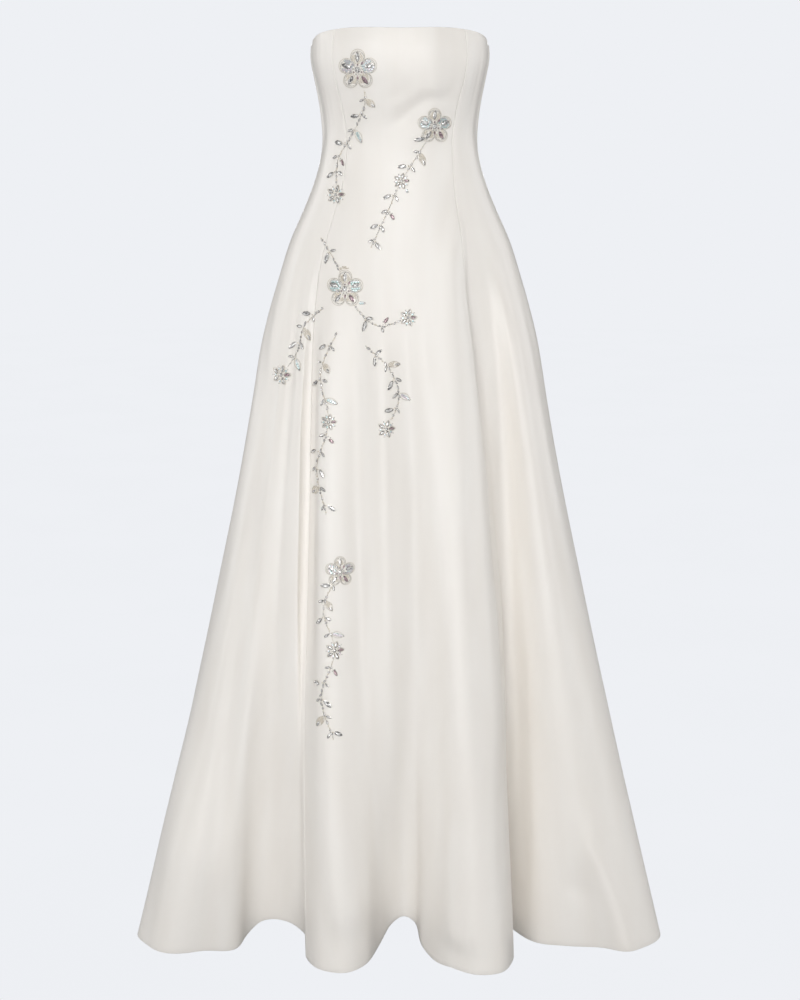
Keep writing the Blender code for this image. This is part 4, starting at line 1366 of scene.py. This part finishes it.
def leaf_beads(kind, root, way, settings, rng):
    """One leaf: a large stone, a leaf filled with beads, a plum stone or a row of sequins."""
    lean = rng.uniform(-LEAF_LEAN, LEAF_LEAN)
    spine = way * LEAF_LENGTH * rng.uniform(*LEAF_LENGTHS)
    length = math.hypot(*spine)
    middle = root + spine * LEAF_STONE_AT
    size = settings.seed_size
    if kind == "stone":
        share = rng.uniform(*LEAF_STONE_SIZES)
        width = MARQUISE_WIDTH * share
        return [
            marquise(CRYSTAL, middle, way, settings.marquise_length * share, width, lean),
            seed(CREAM_SEED, root + spine * ROOT_SEED_AT, size),
        ], []
    if kind == "plum":
        length, width = settings.marquise_length * PLUM_LENGTH, MARQUISE_WIDTH * PLUM_WIDTH
        beads = [marquise(PLUM, middle, way, length, width, lean)]
        for share, side in PLUM_LEAF_SEEDS:
            at = root + spine * share + turned(way, math.pi / 2) * side * size
            beads.append(seed(SILVER_SEED, at, size))
        return beads, []
    outline = leaf_outline(root, way, length, LEAF_WIDTH)
    if kind == "cream":
        at = root + spine * CREAM_LEAF_STONE.at
        beads = [marquise(CRYSTAL, at, way, length * CREAM_LEAF_STONE.length, CREAM_LEAF_STONE.width, lean)]
        clear = [(*(root + spine * reach), CREAM_LEAF_CLEAR) for reach in CREAM_LEAF_REACHES]
        inner = leaf_outline(root, way, length, LEAF_WIDTH * CREAM_LEAF_SCALE)
        for at in filling(inner, size * LEAF_PITCH, clear):
            beads.append(seed(CREAM_SEED, at, size * rng.uniform(*SEED_SIZES)))
        return beads, [(outline, True)]
    beads = []
    for share in LEAF_SEQUINS_AT:
        width = settings.sequin_size * (LEAF_SEQUIN - abs(share - LEAF_WIDEST) / 2)
        beads.append(sequin(root + spine * share, width, rng, LEAF_SEQUIN_THICKNESS))
    turn = math.atan2(way[1], way[0]) + lean
    beads.append(stone("round", CRYSTAL, root + spine * LEAF_TIP_AT, turn, LEAF_TIP_STONE, LEAF_TIP_STONE))
    return beads, [(outline, True)]


def companion(root, way, index, settings, rng):
    """A smaller stone on the other side of the stem from each leaf."""
    aside = turned(way, (-1 if index % 2 else 1) * rng.uniform(*COMPANION_TURNS))
    share = rng.uniform(*COMPANION_SIZES)
    length = settings.marquise_length * share
    at = root + aside * (length / 2 + COMPANION_GAP)
    return marquise(CRYSTAL, at, aside, length, MARQUISE_WIDTH * share)


def stem_beads(points, ways, settings, rng):
    """A stem strung from seed beads and small stones of uneven size that wander off its line a little."""
    run = STEM_SAMPLE * (len(points) - 1)
    beads = []
    gone = 0.0
    while gone < run:
        chance = rng.random()
        length = settings.seed_size * rng.uniform(*STEM_SEED_SIZES)
        if chance < STEM_MARQUISES:
            length = STEM_MARQUISE * rng.uniform(*STEM_MARQUISE_SIZES)
        elif chance < STEM_STONES:
            length = STEM_ROUND * rng.uniform(*STEM_SEED_SIZES)
        nearest = min(len(points) - 1, round((gone + length / 2) / STEM_SAMPLE))
        way = ways[nearest]
        at = points[nearest] + turned(way, math.pi / 2) * rng.uniform(-STEM_WANDER, STEM_WANDER)
        turn = math.atan2(way[1], way[0])
        if chance < STEM_MARQUISES:
            lean = rng.uniform(-STEM_LEAN, STEM_LEAN)
            beads.append(marquise(CRYSTAL, at, way, length, length * STEM_MARQUISE_WIDTH, lean))
        elif chance < STEM_STONES:
            beads.append(stone("round", CRYSTAL, at, turn, length, length))
        else:
            beads.append(seed(SILVER_SEED if chance < STEM_SILVER else CREAM_SEED, at, length, turn))
        gone += length + rng.uniform(*STEM_GAPS)
    return beads


def spray_beads(spray, settings, rng):
    """Every bead and thread of one spray."""
    points, ways = stem_line(spray)
    beads = stem_beads(points, ways, settings, rng)
    threads = [(along_line(points, STEM_THREAD_STEP)[0], False)]
    leaf_steps = spray.leaves - 1 + LEAF_FROM_START + LEAF_FROM_END
    for i in range(spray.leaves):
        at = round((i + LEAF_FROM_START) / leaf_steps * (len(points) - 1))
        way = turned(ways[at], LEAF_TURN if i % 2 else -LEAF_TURN)
        root = points[at] + way * LEAF_STALK
        more = leaf_beads(LEAF_KINDS[i % len(LEAF_KINDS)], root, way, settings, rng)
        beads += more[0] + [companion(points[at], ways[at], i, settings, rng)]
        threads += more[1]
    for blossom in spray.blossoms:
        make = large_blossom if blossom.size > LARGE_BLOSSOM else small_blossom
        more = make(blossom, settings, rng)
        beads = [bead for bead in beads if not covered(bead, blossom)] + more[0]
        threads = [clipped for line in threads for clipped in outside(line, blossom)] + more[1]
    return beads, threads


def covered(bead, blossom):
    return math.hypot(bead.x - blossom.x, bead.height - blossom.height) < blossom.size / 2 + BLOSSOM_CLEAR


def outside(line, blossom):
    """A thread as it is, or only its longest stretch outside a blossom."""
    points, closed = line
    away = np.hypot(points[:, 0] - blossom.x, points[:, 1] - blossom.height) > blossom.size / 2
    if away.all():
        return [line]
    if closed:
        return []
    runs = np.flatnonzero(away)
    return [(points[runs[0] : runs[-1] + 1], False)] if len(runs) > 2 else []


def colour(name, description, hex_colour):
    return bpy.props.FloatVectorProperty(
        name=name, description=description, subtype="COLOR", size=3, min=0, max=1, default=linear(hex_colour)
    )


def distance(name, description, metres, low, high):
    return bpy.props.FloatProperty(
        name=name, description=description, default=metres, min=low, max=high, unit="LENGTH", precision=4
    )


class ClothSettings(bpy.types.PropertyGroup):
    """Colours and weight of the satin."""

    satin_colour: colour("Satin", "Ivory of the satin's right side", "#F4F0EA")
    satin_shade: colour("Satin shade", "The slightly deeper ivory in its mottle", "#F0EBE4")
    wrong_colour: colour("Wrong side", "The matt inside of the satin", "#E2DACC")
    wrong_shade: colour("Wrong side shade", "The deeper tone inside", "#D6CDBD")
    thickness: distance("Thickness", "Thickness of the satin with its backing", 0.0012, 0.0005, WALL)
    creasing: bpy.props.FloatProperty(
        name="Creasing", description="How strongly the cloth is creased", default=1.0, min=0, max=1.5
    )


class BeadSettings(bpy.types.PropertyGroup):
    """Colours and sizes of the beadwork."""

    # Each of these colours is one stop of its beads' painted facet reflections: the crystal colour gives the
    # light facets of the clear stones, and the plum colour is the plum stones' own dark tone.
    crystal_reflection_colour: colour("Crystal", "Light facets of the clear stones", "#FBFAF7")
    plum_colour: colour("Plum crystal", "Dark facets of the plum stones", "#5C4450")
    sequin_colour: colour("Sequins", "Aqua side of the iridescent sequins", "#A9CDC9")
    seed_colour: colour("Seed beads", "Cream of the filling", "#F3ECDD")
    marquise_length: distance("Stone length", "Length of the largest pointed stones", 0.015, 0.008, 0.018)
    sequin_size: distance("Sequin", "Width of a sequin", 0.0048, 0.003, 0.006)
    seed_size: distance("Seed bead", "Width of a seed bead", 0.0021, 0.0015, 0.003)


class ZipSettings(bpy.types.PropertyGroup):
    """Colours of the zip."""

    tape_colour: colour("Tape", "Nylon tape and coil", "#E3DCCB")
    metal_colour: colour("Metal", "Nickel of the slider and pull", "#C9C6BF")


class StageSettings(bpy.types.PropertyGroup):
    """Studio round the dress."""

    background_colour: colour("Background", "Pale floor and surround", "#EEF0F4")
    light_power: bpy.props.FloatProperty(
        name="Lights", description="Power of all soft boxes together", default=200, min=0, unit="POWER"
    )
    ambient: bpy.props.FloatProperty(
        name="Surround", description="Light from the pale surround", default=0.05, min=0, max=1
    )
    floor_gap: distance("Floor gap", "Height of the hem above the floor", 0.02, 0, 0.2)


class DRESS_OT_satin_panels(bpy.types.Operator):
    """Build the seven satin panels with their turnings"""

    bl_idname = "dress.satin_panels"
    bl_label = "Satin panels"

    def execute(self, context):
        settings = context.scene.dress_cloth
        right = duchess_satin(tuple(settings.satin_colour), tuple(settings.satin_shade))
        wrong = satin_wrong_side(tuple(settings.wrong_colour), tuple(settings.wrong_shade))
        thread = plain_finish("polyester_sewing_thread", linear("#E0D8C8"), 0.55, 0.0)
        stitches = Gathering()
        for panel in PANELS:
            outer, inner, out, up, cloth = panel_grid(panel, settings)
            made = make_wall(panel.name + "_satin", outer, inner, cloth, [right, wrong], up)
            turnings = panel_turnings(panel, inner, out, cloth, right)
            inside_stitches(stitches, inner, out, len(inner) - 1 - HEM_ROWS, HEM_STITCH)
            inside_stitches(stitches, inner, out, 1, UNDERSTITCH)
            carry(made, [panel.name])
            carry(turnings)
        carry(stitches.build("inside_stitches", [thread]))
        return {"FINISHED"}


class DRESS_OT_zip(bpy.types.Operator):
    """Finish the concealed zip and its coil"""

    bl_idname = "dress.zip"
    bl_label = "Concealed zip"

    def execute(self, context):
        settings = context.scene.dress_zip
        tape = woven_nylon("woven_nylon_tape", tuple(settings.tape_colour))
        metal = plain_finish("nickel_plated_zinc", tuple(settings.metal_colour), 0.24, 1.0)
        give_material(bpy.data.objects["zip_tape"], tape)
        for name in ("zip_slider", "zip_pull"):
            part = bpy.data.objects[name]
            give_material(part, metal)
            rounding = part.modifiers.new("rounded_edges", "BEVEL")
            rounding.width = METAL_ROUNDING
            rounding.segments = 2
            rounding.limit_method = "ANGLE"
        coil = Gathering()
        above = np.linspace(ZIP_TOP_LEVEL, 0, round(ZIP_TOP_LEVEL * TOP_EDGE[-1].height / COIL_STEP))
        below = np.linspace(0, ZIP_END, round(-ZIP_END / COIL_STEP))[1:]
        for levels in (above, below):
            for i, level in enumerate(levels):
                coil_tooth(coil, 1 if i % 2 else -1, level)
        carry(coil.build("zip_coil", [tape]))
        return {"FINISHED"}


def give_material(part, material):
    part.data.materials.clear()
    part.data.materials.append(material)


def coil_tooth(coil, side, level):
    """One bent loop of the nylon coil, from one side of the zip."""
    seat = surface(0.0, level)
    out, along, _ = directions(np.float64(0.0), np.float64(level))
    depth = WALL + SEAM_GAP + TAPE_DEPTH + COIL_WIRE
    path = [
        seat
        - out * (depth + COIL_WIRE * COIL_RISE * max(0.0, math.sin(turn)))
        + along * side * COIL_REACH * (math.cos(turn) / 2 + COIL_OFFSET)
        for turn in np.linspace(-COIL_OVERRUN, math.pi + COIL_OVERRUN, COIL_POINTS)
    ]
    coil.add(*tube(path, COIL_WIRE, np.tile(np.array([0.0, 0.0, 1.0]), (len(path), 1))), 0)


class DRESS_OT_beaded_sprays(bpy.types.Operator):
    """Lay the beaded blossoms, stems and leaves on the left front"""

    bl_idname = "dress.beaded_sprays"
    bl_label = "Beaded sprays"

    def execute(self, context):
        settings = context.scene.dress_beads
        materials = bead_materials(settings)
        cloth = Cloth([bpy.data.objects[panel.name + "_satin"] for panel in PANELS if "front" in panel.name])
        rng = np.random.default_rng(BEAD_SEED)
        for spray in SPRAYS:
            beads, threads = spray_beads(spray, settings, rng)
            gathering = Gathering()
            for bead in beads:
                lay_bead(gathering, cloth, bead)
            for line, closed in threads:
                lay_thread(gathering, cloth, line, closed)
            carry(gathering.build(spray.name + "_beads", materials), [spray.name])
        return {"FINISHED"}


def area_light(light, power):
    """A soft box turned to the middle of the dress."""
    panel = bpy.data.lights.new(light.name, "AREA")
    panel.shape = "RECTANGLE"
    panel.size, panel.size_y = light.size
    panel.energy = power
    made = bpy.data.objects.new(light.name, panel)
    made.location = light.place
    made.rotation_euler = (Vector(LIT_POINT) - Vector(light.place)).to_track_quat("-Z", "Y").to_euler()
    bpy.context.scene.collection.objects.link(made)


class DRESS_OT_stage(bpy.types.Operator):
    """Set the pale floor and surround, the soft lights and the camera"""

    bl_idname = "dress.stage"
    bl_label = "Studio"

    def execute(self, context):
        settings = context.scene.dress_stage
        pale = tuple(settings.background_colour)
        floor = bpy.data.meshes.new("studio_floor")
        turns = np.linspace(0, 2 * np.pi, FLOOR_SIDES, endpoint=False)
        low = CAD_BOX[0][2] - settings.floor_gap
        corners = [(FLOOR_RADIUS * math.cos(turn), FLOOR_RADIUS * math.sin(turn), low) for turn in turns]
        floor.from_pydata(corners, [], [list(range(FLOOR_SIDES))])
        made = bpy.data.objects.new("studio_floor", floor)
        context.scene.collection.objects.link(made)
        floor.materials.append(painted_floor(pale))
        context.scene.world = surround(pale, settings.ambient)
        for light in STUDIO_LIGHTS:
            area_light(light, settings.light_power * light.share)
        camera = bpy.data.cameras.new("camera")
        camera.lens = CAMERA_LENS
        camera.sensor_width = CAMERA_SENSOR
        viewer = bpy.data.objects.new("camera", camera)
        viewer.location = CAMERA_PLACE
        viewer.rotation_euler = (math.pi / 2 - CAMERA_TILT, 0, 0)
        context.scene.collection.objects.link(viewer)
        context.scene.camera = viewer
        context.scene.view_settings.view_transform = "Standard"
        return {"FINISHED"}


def painted_floor(pale):
    """An evenly lit white studio floor: the camera sees the surround's tone with a faint mottle and no
    shadow, and all other rays meet a matt floor.
    """
    made, tree = new_material("matt_painted_floor")
    place = {"Vector": (add_node(tree, "ShaderNodeTexCoord"), "Object")}
    mottle = add_node(tree, "ShaderNodeTexNoise", {"Scale": FLOOR_MOTTLE_PER_METRE, "Detail": 3.0}, place)
    stops = ((0.4, pale), (0.6, shaded(pale, 0.995)))
    tone = add_node(tree, "ShaderNodeValToRGB", (), {"Fac": (mottle, "Fac")}, stops)
    lit = add_node(tree, "ShaderNodeBsdfDiffuse", {"Color": with_alpha(shaded(pale, 0.55))})
    glow = add_node(tree, "ShaderNodeEmission", {"Strength": 1.0}, {"Color": (tone, "Color")})
    show_to_camera(tree, (lit, "BSDF"), (glow, "Emission"), "ShaderNodeOutputMaterial")
    return made


def surround(pale, ambient):
    """Pale studio surround, which lights the dress less than it shows."""
    world = bpy.data.worlds.new("studio_surround")
    world.use_nodes = True
    tree = world.node_tree
    tree.nodes.clear()
    shown = add_node(tree, "ShaderNodeBackground", {"Color": with_alpha(pale)})
    light = add_node(tree, "ShaderNodeBackground", {"Color": with_alpha(pale), "Strength": ambient})
    show_to_camera(tree, (light, "Background"), (shown, "Background"), "ShaderNodeOutputWorld")
    return world


def show_to_camera(tree, lighting, shown, output):
    """One shader lights the dress, and another is what the camera sees."""
    seen = add_node(tree, "ShaderNodeLightPath")
    mixed = add_node(tree, "ShaderNodeMixShader", (), {"Fac": (seen, "Is Camera Ray"), 1: lighting, 2: shown})
    add_node(tree, output, (), {"Surface": (mixed, "Shader")})


class DRESS_PT_pieces(bpy.types.Panel):
    """Lists the dress's pieces in the sidebar"""

    bl_label = "Wedding dress"
    bl_idname = "DRESS_PT_pieces"
    bl_space_type = "VIEW_3D"
    bl_region_type = "UI"
    bl_category = "Dress"

    def draw(self, context):
        for group, _, operator in STEPS:
            box = self.layout.box()
            box.operator(operator.bl_idname)
            settings = getattr(context.scene, group)
            for name in settings.__annotations__:
                box.prop(settings, name)


STEPS = (
    ("dress_cloth", ClothSettings, DRESS_OT_satin_panels),
    ("dress_zip", ZipSettings, DRESS_OT_zip),
    ("dress_beads", BeadSettings, DRESS_OT_beaded_sprays),
    ("dress_stage", StageSettings, DRESS_OT_stage),
)


def register():
    for name, group, operator in STEPS:
        bpy.utils.register_class(group)
        setattr(bpy.types.Scene, name, bpy.props.PointerProperty(type=group))
        bpy.utils.register_class(operator)
    bpy.utils.register_class(DRESS_PT_pieces)


def unregister():
    bpy.utils.unregister_class(DRESS_PT_pieces)
    for name, group, operator in reversed(STEPS):
        bpy.utils.unregister_class(operator)
        delattr(bpy.types.Scene, name)
        bpy.utils.unregister_class(group)


def main():
    register()
    bpy.ops.dress.satin_panels()
    bpy.ops.dress.zip()
    bpy.ops.dress.beaded_sprays()
    bpy.ops.dress.stage()


if __name__ == "__main__":
    main()
